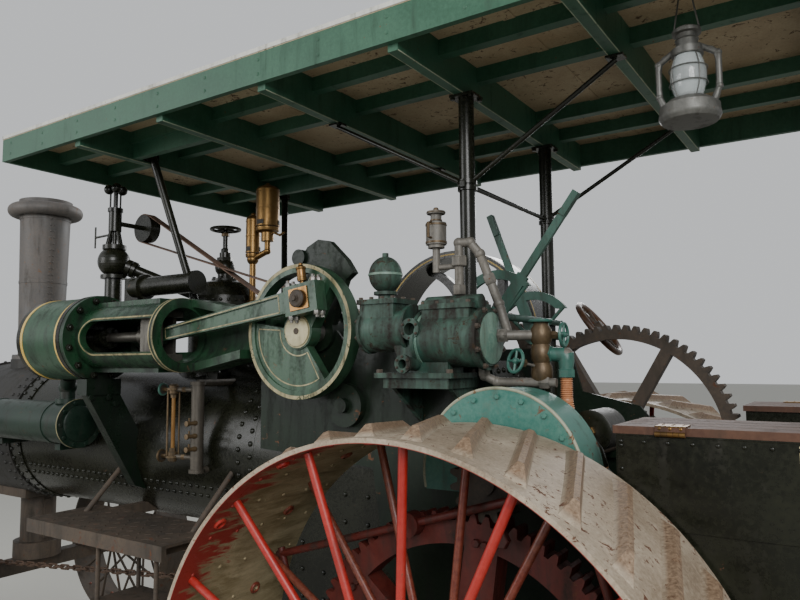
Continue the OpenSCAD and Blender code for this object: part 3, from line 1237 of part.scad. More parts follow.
boiler();
smokebox();
smokebox_door();
smokestack();
fire_door();
front_pedestal();
front_axle();
front_wheel_left();
front_wheel_right();
steering_gear();
steering_chains();
rear_axle();
rear_rim_left();
rear_rim_right();
rear_spokes_left();
rear_spokes_right();
bull_gear_left();
bull_gear_right();
bull_pinion_left();
bull_pinion_right();
countershaft();
drive_gears();
gear_guard();
side_brackets();
engine_frame();
steam_cylinder();
cylinder_lagging();
crosshead();
connecting_rod();
crank_brasses();
crank_disc();
crankshaft();
valve_rod();
flywheel();
governor();
governor_belt();
steam_dome();
whistle();
feedwater_heater();
gauge_glasses();
steam_pump();
pump_pipes();
lubricator();
control_levers();
hoses();
canopy_roof();
canopy_frame();
canopy_posts();
platform();
bunkers();
bunker_lid_left();
bunker_lid_right();
step_plate();
lantern();
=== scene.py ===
# Steam traction engine, dressed for a render. All sizes are in metres.
# +X is the machine's front, +Y its left, +Z up, with the ground at 0.
import bpy
import math
from mathutils import Matrix, Vector


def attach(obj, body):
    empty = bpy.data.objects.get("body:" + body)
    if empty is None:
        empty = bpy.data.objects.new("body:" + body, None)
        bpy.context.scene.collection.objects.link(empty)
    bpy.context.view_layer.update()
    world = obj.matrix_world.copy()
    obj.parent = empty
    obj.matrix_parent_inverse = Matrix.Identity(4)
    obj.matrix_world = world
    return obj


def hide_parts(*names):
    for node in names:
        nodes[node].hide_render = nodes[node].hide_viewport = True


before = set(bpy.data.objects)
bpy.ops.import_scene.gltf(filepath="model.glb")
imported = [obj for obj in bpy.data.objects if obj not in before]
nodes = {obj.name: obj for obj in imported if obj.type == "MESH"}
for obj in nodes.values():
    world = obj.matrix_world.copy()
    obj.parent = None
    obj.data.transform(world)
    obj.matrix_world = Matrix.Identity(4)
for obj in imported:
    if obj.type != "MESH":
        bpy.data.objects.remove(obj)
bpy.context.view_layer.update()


# Boiler: painted plate, rivets and stay bolts
# The barrel and the firebox are steel plate in oily black paint, riveted in double rows where
# the sheets lap. The ends of the stay bolts stand in a grid over the backhead.
class Tone:
    """A socket that takes part in plain sums and grows its material's node tree as it goes."""
    def __init__(self, tree, socket=None):
        self.tree = tree
        self.socket = socket

    def node(self, kind, settings=None, sockets=None, out=0):
        made = self.tree.nodes.new(kind)
        for name, value in (settings or {}).items():
            setattr(made, name, value)
        for name, value in (sockets or {}).items():
            if isinstance(value, Tone):
                self.tree.links.new(value.socket, made.inputs[name])
            elif isinstance(value, tuple) and made.inputs[name].type == "RGBA":
                made.inputs[name].default_value = (*value, 1)
            else:
                made.inputs[name].default_value = value
        return Tone(self.tree, made.outputs[out])

    def sum(self, operation, first, second):
        return self.node("ShaderNodeMath", {"operation": operation}, {0: first, 1: second})

    def __add__(self, other):
        return self.sum("ADD", self, other)

    def __radd__(self, other):
        return self.sum("ADD", other, self)

    def __sub__(self, other):
        return self.sum("SUBTRACT", self, other)

    def __rsub__(self, other):
        return self.sum("SUBTRACT", other, self)

    def __mul__(self, other):
        return self.sum("MULTIPLY", self, other)

    def __rmul__(self, other):
        return self.sum("MULTIPLY", other, self)

    def unsigned(self):
        return self.node("ShaderNodeMath", {"operation": "ABSOLUTE"}, {0: self})

    def clipped(self, low, high):
        """0 below the low value, 1 above the high one, and even between them."""
        return self.node("ShaderNodeMapRange", {"clamp": True}, {0: self, 1: low, 2: high, 3: 0.0, 4: 1.0})

    def mixed(self, under, over):
        """Colour under where this mask is 0, and colour over where it is 1."""
        return self.node("ShaderNodeMix", {"data_type": "RGBA"}, {0: self, 6: under, 7: over}, out=2)

    def along(self, axis):
        """One of a place's three numbers: 0 for X, 1 for Y, 2 for Z."""
        return self.node("ShaderNodeSeparateXYZ", {}, {0: self}, out=axis)

    def moved(self, *by):
        return self.node("ShaderNodeVectorMath", {"operation": "ADD"}, {0: self, 1: by})

    def stretched(self, *by):
        return self.node("ShaderNodeVectorMath", {"operation": "MULTIPLY"}, {0: self, 1: by})

    def noise(self, scale, detail=4.0, rough=0.55, warp=0.0):
        return self.node("ShaderNodeTexNoise", {}, {"Vector": self, "Scale": scale, "Detail": detail,
                                                    "Roughness": rough, "Distortion": warp})


def coat(name, colour, faded, grime_and_shade=(0.02, 0.018, 0.014), rust=(0.16, 0.07, 0.035), gloss=0.35,
         dirt=0.4, chips=0.3, metal=0.0, grain=1.0, bump=0.12, shine=0.5, painted_shade_below=None, layers=None):
    """Brushed paint or bare metal: faded in patches, with grime in runs, chips down to the rust, and painted
    shade below a height.
    """
    finish = bpy.data.materials.new(name)
    finish.use_nodes = True
    tree = finish.node_tree
    tree.nodes.clear()
    place = Tone(tree).node("ShaderNodeTexCoord", out="Object")
    patches = place.noise(2.6 * grain, 5.0, 0.6, 0.3)
    fine = place.noise(70 * grain, 6.0, 0.65)
    specks = place.noise(24 * grain, 8.0, 0.72, 0.6)
    runs = place.stretched(9 * grain, 9 * grain, 1.4 * grain).noise(2.2, 6.0, 0.6, 0.4)
    dusty = (patches * 0.55 + fine * 0.45).clipped(0.38, 0.66)
    grimy = (runs * 0.7 + fine * 0.3).clipped(0.62 - dirt * 0.22, 0.82 - dirt * 0.2) * min(1.0, 0.5 + dirt)
    chipped = (specks * 0.8 + patches * 0.2).clipped(0.66 - chips * 0.1, 0.69 - chips * 0.1)
    shade = grimy.mixed(dusty.mixed(colour, faded), grime_and_shade)
    shade = chipped.mixed(shade, fine.mixed(rust, tuple(c * 0.4 for c in rust)))
    # Painted shade: below the given height the colour darkens towards the grime colour, for the shade under
    # the guide.
    if painted_shade_below:
        height = place.along(2) + (patches - 0.5) * 0.06
        shade_below_mask = 1 - height.clipped(painted_shade_below - 0.03, painted_shade_below + 0.03)
        shade = (shade_below_mask * 0.85).mixed(shade, grime_and_shade)
    if layers:
        shade = layers(place, patches, fine, shade)
    roughness = dusty * 0.16 + (gloss + grimy * 0.3) + chipped * 0.35
    relief = place.node("ShaderNodeBump", {},
                        {"Strength": bump, "Distance": 0.002, "Height": fine * 0.6 - chipped * 0.8})
    shader = place.node("ShaderNodeBsdfPrincipled", {},
                        {"Metallic": metal, "Specular IOR Level": shine, "Base Color": shade,
                         "Roughness": roughness.clipped(0.0, 1.0), "Normal": relief})
    tree.links.new(shader.socket, tree.nodes.new("ShaderNodeOutputMaterial").inputs[0])
    return finish


def dress(finish, *names):
    """One finish for parts of the frame, shaded smooth but for the edges where they crease."""
    for name in names:
        mesh = nodes[name].data
        mesh.materials.clear()
        mesh.materials.append(finish)
        mesh.shade_smooth()
        mesh.set_sharp_from_angle(angle=cad_crease)


cad_crease = math.radians(28)
rear_axle_x = -1.361
ahead, leftward, up = Vector((1, 0, 0)), Vector((0, 1, 0)), Vector((0, 0, 1))


def at(x, y, z):
    """A point given from the rear axle, as the parts are placed in the source."""
    return Vector((x + rear_axle_x, y, z))


def facing(point, way):
    """A place whose Z looks one way."""
    return Matrix.Translation(point) @ Vector(way).to_track_quat("Z", "Y").to_matrix().to_4x4()


def turns(count, start=0.0):
    """Angles evenly round a circle, the first moved on by a part of the spacing."""
    return [2 * math.pi * (i + start) / count for i in range(count)]


def circle(centre, axis, radius, angles):
    """Spots on a circle round an axis along X, Y or Z, each with its way out."""
    for turn in angles:
        c, s = math.cos(turn), math.sin(turn)
        out = Vector({"X": (0, c, s), "Y": (c, 0, s), "Z": (c, s, 0)}[axis])
        yield centre + out * radius, out


class Shapes:
    """Many small solids gathered into one mesh."""
    def __init__(self):
        self.points = []
        self.faces = []

    def put(self, points, faces, place=Matrix()):
        start = len(self.points)
        self.points += [place @ Vector(p) for p in points]
        self.faces += [tuple(start + i for i in face) for face in faces]

    def turned(self, outline, place=Matrix(), sides=12):
        """A solid of revolution round Z from (radius, height) pairs; a radius of 0 closes an end."""
        points, rows = [], []
        for radius, height in outline:
            if radius < 1e-7:
                rows.append([len(points)])
                points.append((0, 0, height))
                continue
            rows.append(list(range(len(points), len(points) + sides)))
            points += [spot for spot, out in circle(up * height, "Z", radius, turns(sides))]
        faces = []
        for low, high in zip(rows, rows[1:]):
            for i in range(sides):
                j = (i + 1) % sides
                face = (low[i % len(low)], low[j % len(low)], high[j % len(high)], high[i % len(high)])
                face = tuple(dict.fromkeys(face))
                if len(face) > 2:
                    faces.append(face)
        self.put(points, faces, place)

    def plug(self, place, r, low, high, sides):
        """A plain round or hexagonal block between two heights."""
        self.turned([(0, low), (r, low), (r, high), (0, high)], place, sides)

    def nut(self, spot, way, r, high):
        """A hexagon nut or bolt head."""
        self.turned([(r, -0.001), (r, high * 0.8), (r * 0.86, high), (0, high)], facing(spot, way), 6)

    def rivet(self, spot, way, r, sides=8):
        """The snap head of a rivet."""
        self.turned([(r, -0.001), (r, 0.0), (r * 0.9, r * 0.32), (r * 0.6, r * 0.6), (0, r * 0.72)],
                    facing(spot, way), sides)

    def ring(self, radius, outline, place=Matrix(), sides=64):
        """A closed outline of (out, up) pairs swept round Z at a radius."""
        points, faces, n = [], [], len(outline)
        for turn in turns(sides):
            c, s = math.cos(turn), math.sin(turn)
            points += [((radius + u) * c, (radius + u) * s, v) for u, v in outline]
        for i in range(sides):
            for k in range(n):
                a, b = i * n + k, i * n + (k + 1) % n
                c, d = (i + 1) % sides * n + (k + 1) % n, (i + 1) % sides * n + k
                faces.append((a, d, c, b))
        self.put(points, faces, place)

    def band(self, spot, way, radius, half, sunk, proud, cut=0.001, sides=64):
        """A hoop round a barrel, from a little under its face to a little over it."""
        outline = [(-sunk, -half), (proud, cut - half), (proud, half - cut), (-sunk, half)]
        self.ring(radius, outline, facing(spot, way), sides)

    def disc_line(self, spot, way, radius, half, proud, sides):
        """A painted line round a flat face."""
        self.ring(radius, [(-half, -0.002), (half, -0.002), (half, proud), (-half, proud)],
                  facing(spot, way), sides)

    def wire_ring(self, place, radius, wire, wire_sides, sides):
        """A ring of round wire."""
        outline = [(wire * math.cos(turn), wire * math.sin(turn)) for turn in turns(wire_sides)]
        self.ring(radius, outline, place, sides)

    def slab(self, low, high, place=Matrix(), edge=0.0):
        """A box between two corners, with its upright and flat edges cut by a small chamfer."""
        (x0, x1), (y0, y1), (z0, z1) = (sorted(pair) for pair in zip(low, high))
        e = edge
        if e <= 0:
            self.put([(x, y, z) for z in (z0, z1) for y in (y0, y1) for x in (x0, x1)],
                     [(0, 2, 3, 1), (4, 5, 7, 6), (0, 1, 5, 4), (2, 6, 7, 3), (0, 4, 6, 2), (1, 3, 7, 5)],
                     place)
            return
        points, faces = [], []
        for z, inset in ((z0, e), (z0 + e, 0), (z1 - e, 0), (z1, e)):
            a, b, c, d = x0 + inset, x1 - inset, y0 + inset, y1 - inset
            points += [(a + e, c, z), (b - e, c, z), (b, c + e, z), (b, d - e, z),
                       (b - e, d, z), (a + e, d, z), (a, d - e, z), (a, c + e, z)]
        for r in range(3):
            for i in range(8):
                j = (i + 1) % 8
                faces.append((r * 8 + i, r * 8 + j, r * 8 + 8 + j, r * 8 + 8 + i))
        faces.append(tuple(range(7, -1, -1)))
        faces.append(tuple(range(24, 32)))
        self.put(points, faces, place)

    def pipe(self, path, radius, sides=12, closed=False):
        """A round bar along a path, with flat ends; a list of radii gives one to each point."""
        path = [Vector(p) for p in path]
        n = len(path)
        points, faces = [], []
        sideways = None
        for i, p in enumerate(path):
            before = path[i - 1] if i or closed else p
            after = path[(i + 1) % n] if i < n - 1 or closed else p
            along = (after - before).normalized()
            if sideways is None:
                sideways = along.orthogonal().normalized()
            sideways = (sideways - along * sideways.dot(along)).normalized()
            other = along.cross(sideways)
            r = radius[i] if isinstance(radius, list) else radius
            points += [p + (sideways * math.cos(turn) + other * math.sin(turn)) * r for turn in turns(sides)]
        for i in range(n if closed else n - 1):
            for k in range(sides):
                a, b = i * sides + k, i * sides + (k + 1) % sides
                j = (i + 1) % n
                faces.append((a, b, j * sides + (k + 1) % sides, j * sides + k))
        if not closed:
            faces.append(tuple(range(sides - 1, -1, -1)))
            faces.append(tuple((n - 1) * sides + k for k in range(sides)))
        self.put(points, faces)

    def piece(self, name, body, slot, finish, crease=35):
        mesh = bpy.data.meshes.new(name)
        mesh.from_pydata([tuple(p) for p in self.points], [], self.faces)
        mesh.validate()
        mesh.update()
        mesh.shade_smooth()
        mesh.set_sharp_from_angle(angle=math.radians(crease))
        mesh.materials.append(finish)
        made = bpy.data.objects.new(name, mesh)
        bpy.context.scene.collection.objects.link(made)
        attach(made, body)
        return made


black_paint = coat("black_paint", (0.004, 0.0045, 0.003), (0.014, 0.015, 0.008), gloss=0.2, dirt=0.3,
                   chips=0.15, bump=0.04, shine=0.3)
dress(black_paint, "boiler")
boiler_z = 1.473
barrel_r = 0.425
lap_r = barrel_r + 0.006
wrapper_y = 0.430
backhead_x = 0.25
flange_r = 0.39
stay_circle = 0.35
rivets = Shapes()
# columns of a row round a lap: its X, and its start as a part of the spacing
for x, start in ((1.322, 0), (1.398, 0.5), (3.300, 0), (3.378, 0.5)):
    for spot, out in circle(at(x, 0, boiler_z), "X", lap_r, turns(46, start)):
        rivets.rivet(spot, out, 0.013, 10)
# the lap seam along the barrel, low on its left side
for i in range(36):
    seam = (math.radians(-24), math.radians(-31))
    for spot, out in circle(at(1.47 + i * 0.05, 0, boiler_z), "X", barrel_r, seam):
        rivets.rivet(spot, out, 0.012, 10)
for i in range(9):
    for k in range(7):
        for s in (-1, 1):
            rivets.rivet(at(0.31 + i * 0.115, s * wrapper_y, 0.70 + k * 0.11), leftward * s, 0.011)
# the backhead: a row round its flange, and stays over its face but for the crown's corners
for spot, out in circle(at(backhead_x, 0, boiler_z), "X", flange_r, [math.pi * i / 24 for i in range(25)]):
    rivets.rivet(spot, -ahead, 0.012, 10)
for i in range(14):
    for s in (-1, 1):
        rivets.rivet(at(backhead_x, s * flange_r, 0.69 + i * 0.06), -ahead, 0.012, 10)
for y in (-0.3, -0.2, -0.1, 0, 0.1, 0.2, 0.3):
    for z in (0.72, 0.83, 0.94, 1.05, 1.6, 1.7, 1.8):
        if y * y + (z - boiler_z) ** 2 < stay_circle ** 2 or z < boiler_z:
            rivets.nut(at(backhead_x, y, z), -ahead, 0.016, 0.014)
rivets.piece("boiler_rivets", "frame", "black_paint", black_paint)

# Smokebox and its door: plate rivets and door nuts
# Rolled plate, dull black from soot and heat, with a row of rivets round each end. The door's
# ring is held to the front by a circle of nuts.
soot_black = coat("soot_black", (0.011, 0.011, 0.010), (0.03, 0.028, 0.024), gloss=0.5, dirt=0.5, shine=0.35)
dress(soot_black, "smokebox", "smokebox_door")
plate_rivets = Shapes()
# columns of a row of rivets: its X, radius, count
for x, r, count in ((3.425, 0.439, 44), (3.490, 0.439, 44), (4.185, 0.451, 40)):
    for spot, out in circle(at(x, 0, boiler_z), "X", r, turns(count)):
        plate_rivets.rivet(spot, out, 0.012)
for spot, out in circle(at(4.200, 0, boiler_z), "X", 0.428, turns(36)):
    plate_rivets.rivet(spot, ahead, 0.012)
for spot, out in circle(at(4.2148, 0, boiler_z), "X", 0.302, turns(10, 0.5)):
    plate_rivets.nut(spot, ahead, 0.014, 0.013)
plate_rivets.piece("smokebox_rivets", "frame", "soot_black", soot_black)

# Smokestack: lapped seam, bands and foot nuts
# Sheet steel rolled into a slight cone and riveted up its back, with a rolled lip at the top.
# It has lost its paint, and nuts hold its foot to the smokebox.
stack_grey = coat("stack_grey", (0.05, 0.048, 0.046), (0.105, 0.088, 0.075), rust=(0.2, 0.11, 0.06),
                  gloss=0.5, chips=0.6)
dress(stack_grey, "smokestack")
stack_x = 3.850
foot_z, foot_r = 1.968, 0.144
lip_z, lip_r = 2.993, 0.165
stack_rivets = Shapes()
for i in range(22):
    z = 2.000 + i * 0.044
    r = foot_r + (lip_r - foot_r) * (z - foot_z) / (lip_z - foot_z)
    for spot, out in circle(at(stack_x, 0, z), "Z", r, (math.radians(163), math.radians(171))):
        stack_rivets.rivet(spot, out, 0.0075)
for z, r in ((2.030, 0.1455), (2.480, 0.1545), (2.935, 0.1638)):
    stack_rivets.band(at(stack_x, 0, z), up, r, 0.010, 0.003, 0.003)
for spot, out in circle(at(stack_x, 0, 1.9583), "Z", 0.165, turns(12)):
    stack_rivets.nut(spot, up, 0.013, 0.012)
stack_rivets.ring(0.200, [(-0.028, 0.038), (-0.004, 0.042), (0.008, 0.042), (0.014, 0.036), (-0.026, 0.030)],
                  facing(at(stack_x, 0, lip_z), up))
stack_rivets.piece("stack_rivets", "frame", "grey_iron", stack_grey)

# Steam dome and feed pipe: studs, rivets and flanges
# A riveted dome with a bolted foot and a hexagon cap, and a steam pipe to the engine with two
# bolted flanges, all under the boiler's black paint.
dress(black_paint, "steam_dome")
dome_x = 1.975
dome_bolts = Shapes()
for spot, out in circle(at(dome_x, 0, 2.245), "Z", 0.195, turns(30)):
    dome_bolts.rivet(spot, out, 0.010)
# columns of a circle of nuts: its Z, radius, count, nut
for z, r, count, nut in ((1.920, 0.222, 15, 0.014), (2.376, 0.060, 6, 0.010)):
    for spot, out in circle(at(dome_x, 0, z), "Z", r, turns(count)):
        dome_bolts.nut(spot, up, nut, nut)
dome_bolts.plug(facing(at(dome_x, 0, 2.486), up), 0.046, -0.012, 0.012, 6)
dome_bolts.turned([(0, 0), (0.024, 0), (0.024, 0.020), (0.018, 0.026), (0, 0.026)],
                  facing(at(dome_x, 0, 2.526), up), 6)
dome_bolts.piece("dome_bolts", "frame", "black_paint", black_paint)
feed_from, feed_to = at(2.085, 0.105, 2.280), at(2.400, 0.420, 2.462)
feed_way = (feed_to - feed_from).normalized()
feed_flanges = Shapes()
for back in (0.112, 0.330):
    joint = feed_to - feed_way * back
    feed_flanges.plug(facing(joint, feed_way), 0.046, -0.010, 0.010, 32)
    for spot, out in circle(up * 0.010, "Z", 0.039, turns(6)):
        feed_flanges.nut(facing(joint, -feed_way) @ spot, -feed_way, 0.007, 0.008)
feed_flanges.piece("feed_pipe_flanges", "frame", "black_paint", black_paint)

# Underframe, axles, pinions and fire door
# Cast and forged iron, brown with rust and road dirt. It is fixed under the boiler or runs in
# its brackets, and nothing is added to it here.
chassis_iron = coat("chassis_iron", (0.032, 0.027, 0.022), (0.09, 0.065, 0.045), rust=(0.13, 0.055, 0.028),
                    gloss=0.55, dirt=0.5, chips=0.7, shine=0.3)
dress(chassis_iron, "fire_door", "front_pedestal", "front_axle", "rear_axle", "bull_pinion_left",
      "bull_pinion_right", "drive_gears", "countershaft")


# Rear wheels: rivets of the lugs, spoke nuts and hub caps
# Steel rims with slanted lugs riveted on, and round spokes bolted into the hub. The red paint is
# left on the outer spokes, and the tread is worn to bare rusty steel.
wheel_axle = at(0, 0, 0.868)
rim_inner_r = 0.826


def rim_wear(place, patches, fine, shade):
    """Rust brown on the lugs, olive dust inside the rim, and the red paint left along its outer edge."""
    flat = place.moved(*-wheel_axle).stretched(1, 0, 1)
    radius = flat.node("ShaderNodeVectorMath", {"operation": "LENGTH"}, {0: flat}, out=1)
    inside = 1 - radius.clipped(rim_inner_r + 0.0006, rim_inner_r + 0.0025)
    on_lug = radius.clipped(0.844, 0.852)
    streaks = place.stretched(14, 3, 14).noise(1.6, 6.0, 0.7, 0.5)
    olive = streaks.clipped(0.35, 0.68).mixed((0.13, 0.10, 0.045), (0.33, 0.28, 0.17))
    red_left = (place.along(1).unsigned().clipped(0.95, 1.30) * 0.34 + streaks * 0.8).clipped(0.60, 0.66)
    olive = red_left.mixed(olive, (0.20, 0.018, 0.012))
    rusty = fine.clipped(0.35, 0.65).mixed((0.10, 0.055, 0.03), (0.27, 0.18, 0.11))
    return (on_lug * 0.8).mixed(inside.mixed(shade, olive), rusty)


def spoke_wear(place, patches, fine, shade):
    """The inner set of spokes and the tie rods have lost most of their red to rust."""
    inner = 1 - place.along(1).unsigned().clipped(1.04, 1.10)
    rusty = fine.clipped(0.35, 0.65).mixed((0.075, 0.02, 0.012), (0.16, 0.055, 0.03))
    return (inner * (patches.clipped(0.2, 0.5) * 0.35 + 0.55)).mixed(shade, rusty)


tread_steel = coat("tread_steel", (0.2, 0.15, 0.1), (0.45, 0.38, 0.29), grime_and_shade=(0.09, 0.065, 0.045),
                   rust=(0.13, 0.045, 0.02), gloss=0.5, dirt=0.35, chips=0.9, metal=0.15, grain=1.6,
                   layers=rim_wear)
spoke_red = coat("spoke_red", (0.25, 0.010, 0.008), (0.36, 0.03, 0.02), grime_and_shade=(0.07, 0.02, 0.012), gloss=0.32,
                 dirt=0.35, chips=0.5, layers=spoke_wear)
dress(tread_steel, "rear_rim_left", "rear_rim_right")
dress(spoke_red, "rear_spokes_left", "rear_spokes_right")
for side, s in (("left", 1), ("right", -1)):
    way = leftward * s
    tread_rivets, rim_nuts, hub_trim = Shapes(), Shapes(), Shapes()
    # columns of a spoke set: hub plate's Y, which way its nuts face, first turn, Y at the rim
    for plate_y, nuts_face, first, rim_y in ((1.230, 1, -3.5, 1.240), (0.947, -1, -5.0, 0.922)):
        angles = [math.radians(first + 22.5 * i) for i in range(16)]
        for spot, out in circle(wheel_axle + way * rim_y, "Y", rim_inner_r - 0.0005, angles):
            rim_nuts.turned([(0.021, 0), (0.021, 0.004), (0.0185, 0.007), (0.0140, 0.008), (0.0140, 0.0),
                             (0.021, 0)], facing(spot, -out), 12)
        for spot, out in circle(wheel_axle + way * plate_y, "Y", 0.153, angles):
            rim_nuts.nut(spot, way * nuts_face, 0.014, 0.013)
    for turn in turns(36, 0.5):
        beside_lug = Vector((-math.sin(turn), 0, math.cos(turn))) * 0.030
        for y in (0.80, 0.91, 1.02, 1.13, 1.24):
            for spot, out in circle(wheel_axle + way * y, "Y", rim_inner_r, (turn,)):
                tread_rivets.rivet(spot + beside_lug, -out, 0.0075)
    cap = wheel_axle + way * 1.265
    hub_trim.turned([(0.104, -0.002), (0.104, 0.010), (0.096, 0.016), (0.062, 0.018), (0.056, 0.030),
                     (0, 0.030)], facing(cap, way), 40)
    for spot, out in circle(cap + way * 0.0165, "Y", 0.080, turns(8)):
        hub_trim.nut(spot, way, 0.012, 0.012)
    tread_rivets.piece("tread_rivets_" + side, "rear_wheel_" + side, "worn_tread_steel", tread_steel)
    rim_nuts.piece("rim_nuts_" + side, "rear_wheel_" + side, "red_paint", spoke_red)
    hub_trim.piece("hub_trim_" + side, "rear_wheel_" + side, "black_paint", black_paint)

# Bull gears: nuts of the tie rods and two bolts at each arm
# Cast iron ring gears, dull red under old grease. Tie rods with big nuts hold each to its wheel,
# and two bolts hold it at each of its arms.
gear_red = coat("gear_red", (0.06, 0.009, 0.007), (0.13, 0.024, 0.016), gloss=0.45, dirt=0.7, chips=0.5,
                shine=0.35)
dress(gear_red, "bull_gear_left", "bull_gear_right")
arm_bolts = [math.radians(98 + 60 * i) + lean for i in range(6) for lean in (-0.028, 0.028)]
tie_rods = [math.radians(17 + 90 * i) for i in range(4)]
tie_y, tie_circle = 0.902, 0.555
arm_y, arm_circle = 0.855, 0.500
for side, s in (("left", 1), ("right", -1)):
    way = leftward * s
    gear_nuts = Shapes()
    for spot, out in circle(wheel_axle + way * tie_y, "Y", tie_circle, tie_rods):
        gear_nuts.nut(spot, way, 0.026, 0.020)
    for spot, out in circle(wheel_axle + way * arm_y, "Y", arm_circle, arm_bolts):
        gear_nuts.nut(spot, way, 0.013, 0.012)
    gear_nuts.piece("gear_nuts_" + side, "rear_wheel_" + side, "dark_red_paint", gear_red)

# Front wheels: rivets of the spokes
# Narrow iron wheels with thin spokes. The spokes' rivets show inside the rim, by turns to one
# side of its middle and to the other.
dress(chassis_iron, "front_wheel_left", "front_wheel_right")
wheelbase, track_half, front_hub_z = 3.800, 0.725, 0.555
front_rim_inner_r = 0.540
for side, s in (("left", 1), ("right", -1)):
    hub = at(wheelbase, s * track_half, front_hub_z)
    front_trim = Shapes()
    for y, start in ((-0.06, 0), (0.06, 0.5)):
        for spot, out in circle(hub + leftward * y, "Y", front_rim_inner_r, turns(12, start)):
            front_trim.rivet(spot, -out, 0.009)
    front_trim.piece("front_trim_" + side, "front_wheel_" + side, "red_paint", spoke_red)

# Steering chains: forged oval links in place of the plain ones
# Each link is a bent round bar. They run from the roller to the ends of the front axle, and the
# steering gear and its column are bare rusty iron like them.
dress(chassis_iron, "steering_gear", "steering_chains")
chain_iron = coat("chain_iron", (0.05, 0.03, 0.02), (0.12, 0.075, 0.05), grime_and_shade=(0.02, 0.014, 0.01), gloss=0.5,
                  dirt=0.5, chips=0.6, metal=0.4, shine=0.35)
link_wire, link_pitch, link_half = 0.0055, 0.062, 0.017
link_straight = link_pitch / 2
links = Shapes()
for s in (-1, 1):
    start, end = at(1.470, s * 0.280, 0.858), at(3.780, s * 0.280, 0.6182)
    along = (end - start).normalized()
    upward = along.cross(leftward).normalized()
    count = int((end - start).length / link_pitch)
    for i in range(count):
        middle = start.lerp(end, (i + 0.5) / count)
        across = leftward if i % 2 else upward
        oval = []
        for turn in turns(20):
            shift = link_straight if math.cos(turn) > 0 else -link_straight
            bend = (link_half - link_wire) * math.cos(turn)
            oval.append(middle + along * (shift + bend) + across * (link_half - link_wire) * math.sin(turn))
        links.pipe(oval, link_wire, 8, closed=True)
chain = links.piece("chain_links", "frame", "dark_iron", chain_iron)
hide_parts("steering_chains")

# Steering hand wheel: a turned wooden rim on iron spokes
# The rim is hardwood, dark with hands and oil. It goes round the ends of the spokes, at the top
# of the steering column.
hand_wheel_wood = coat("hand_wheel_wood", (0.055, 0.024, 0.011), (0.11, 0.055, 0.028),
                       grime_and_shade=(0.014, 0.009, 0.006), gloss=0.28, dirt=0.5, chips=0.2)
column_low, column_high = at(1.545, -0.600, 0.930), at(0.060, -0.705, 2.060)
hand_wheel = Shapes()
hand_wheel.wire_ring(facing(column_high, column_high - column_low), 0.150, 0.0152, 12, 72)
hand_wheel.piece("hand_wheel_rim", "frame", "lid_boards", hand_wheel_wood)

# Cylinder: lagging bands and studs
# A cast cylinder in black paint, lagged with green wooden staves under two gilt steel bands.
# Studs with nuts hold its flanges, its gland and the cover of the valve chest.
disc_green = coat("disc_green", (0.012, 0.042, 0.021), (0.036, 0.082, 0.045), grime_and_shade=(0.006, 0.009, 0.005),
                  gloss=0.28, dirt=0.65, chips=0.4, shine=0.36)
line_gold = coat("line_gold", (0.46, 0.3, 0.05), (0.58, 0.44, 0.16), grime_and_shade=(0.1, 0.07, 0.03), gloss=0.38,
                 dirt=0.3, chips=0.3)
dress(black_paint, "steam_cylinder")
dress(disc_green, "cylinder_lagging")
engine_y = 0.645
crank_x, crank_z = 0.890, 2.028
flange_x = 2.170
lagging_end = flange_x + 0.360
bands, flange_bolts = Shapes(), Shapes()
for x in (flange_x + 0.044, lagging_end - 0.012):
    bands.band(at(x, engine_y, crank_z), ahead, 0.207, 0.010, 0.002, 0.0022, sides=96)
bands.piece("lagging_bands", "frame", "green_paint", line_gold)
rear_stud = [(0.009, -0.001), (0.009, 0.024), (0.007, 0.027), (0, 0.027)]
front_stud = [(0.009, -0.001), (0.009, 0.028), (0, 0.030)]
# columns of a flange: X, stud circle, way, nut's height, outline of the stud's end
for x, r, way, high, stud in ((flange_x - 0.030, 0.188, -ahead, 0.016, rear_stud),
                              (lagging_end + 0.036, 0.182, ahead, 0.018, front_stud)):
    for spot, out in circle(at(x, engine_y, crank_z), "X", r, turns(12, 0.5)):
        flange_bolts.nut(spot, way, 0.017, high)
        flange_bolts.turned(stud, facing(spot, way), 10)
for spot, out in circle(at(flange_x - 0.092, engine_y, crank_z), "X", 0.041, turns(6)):
    flange_bolts.nut(spot, -ahead, 0.011, 0.012)
for x in (0.065, 0.130, 0.195, 0.260, 0.315):
    for z in (-0.070, 0.080):
        flange_bolts.nut(at(flange_x + x, 0.300, crank_z + z), -leftward, 0.012, 0.014)
flange_bolts.piece("cylinder_bolts", "frame", "black_paint", black_paint)


# Crosshead guide and side plates: painted lines and seat bolts
# The guide is one green casting, bored through and open at its sides, with painted shade on its
# lower part. Cream lines follow its window and its mouth. Bolts hold its arm to the side plate
# and the bracket under it.
def ribbon(shapes, path, normals, width):
    """A painted line that closes on itself: a flat strip sunk a little into a surface."""
    n = len(path)
    points, faces = [], []
    for i in range(n):
        normal = normals[i].normalized()
        across = (path[(i + 1) % n] - path[i - 1]).cross(normal).normalized() * (width / 2)
        for step, rise in ((-1, -0.002), (1, -0.002), (1, 0.0009), (-1, 0.0009)):
            points.append(path[i] + across * step + normal * rise)
        j = (i + 1) % n
        faces += [(i * 4 + k, i * 4 + (k + 1) % 4, j * 4 + (k + 1) % 4, j * 4 + k) for k in range(4)]
    shapes.put(points, faces)
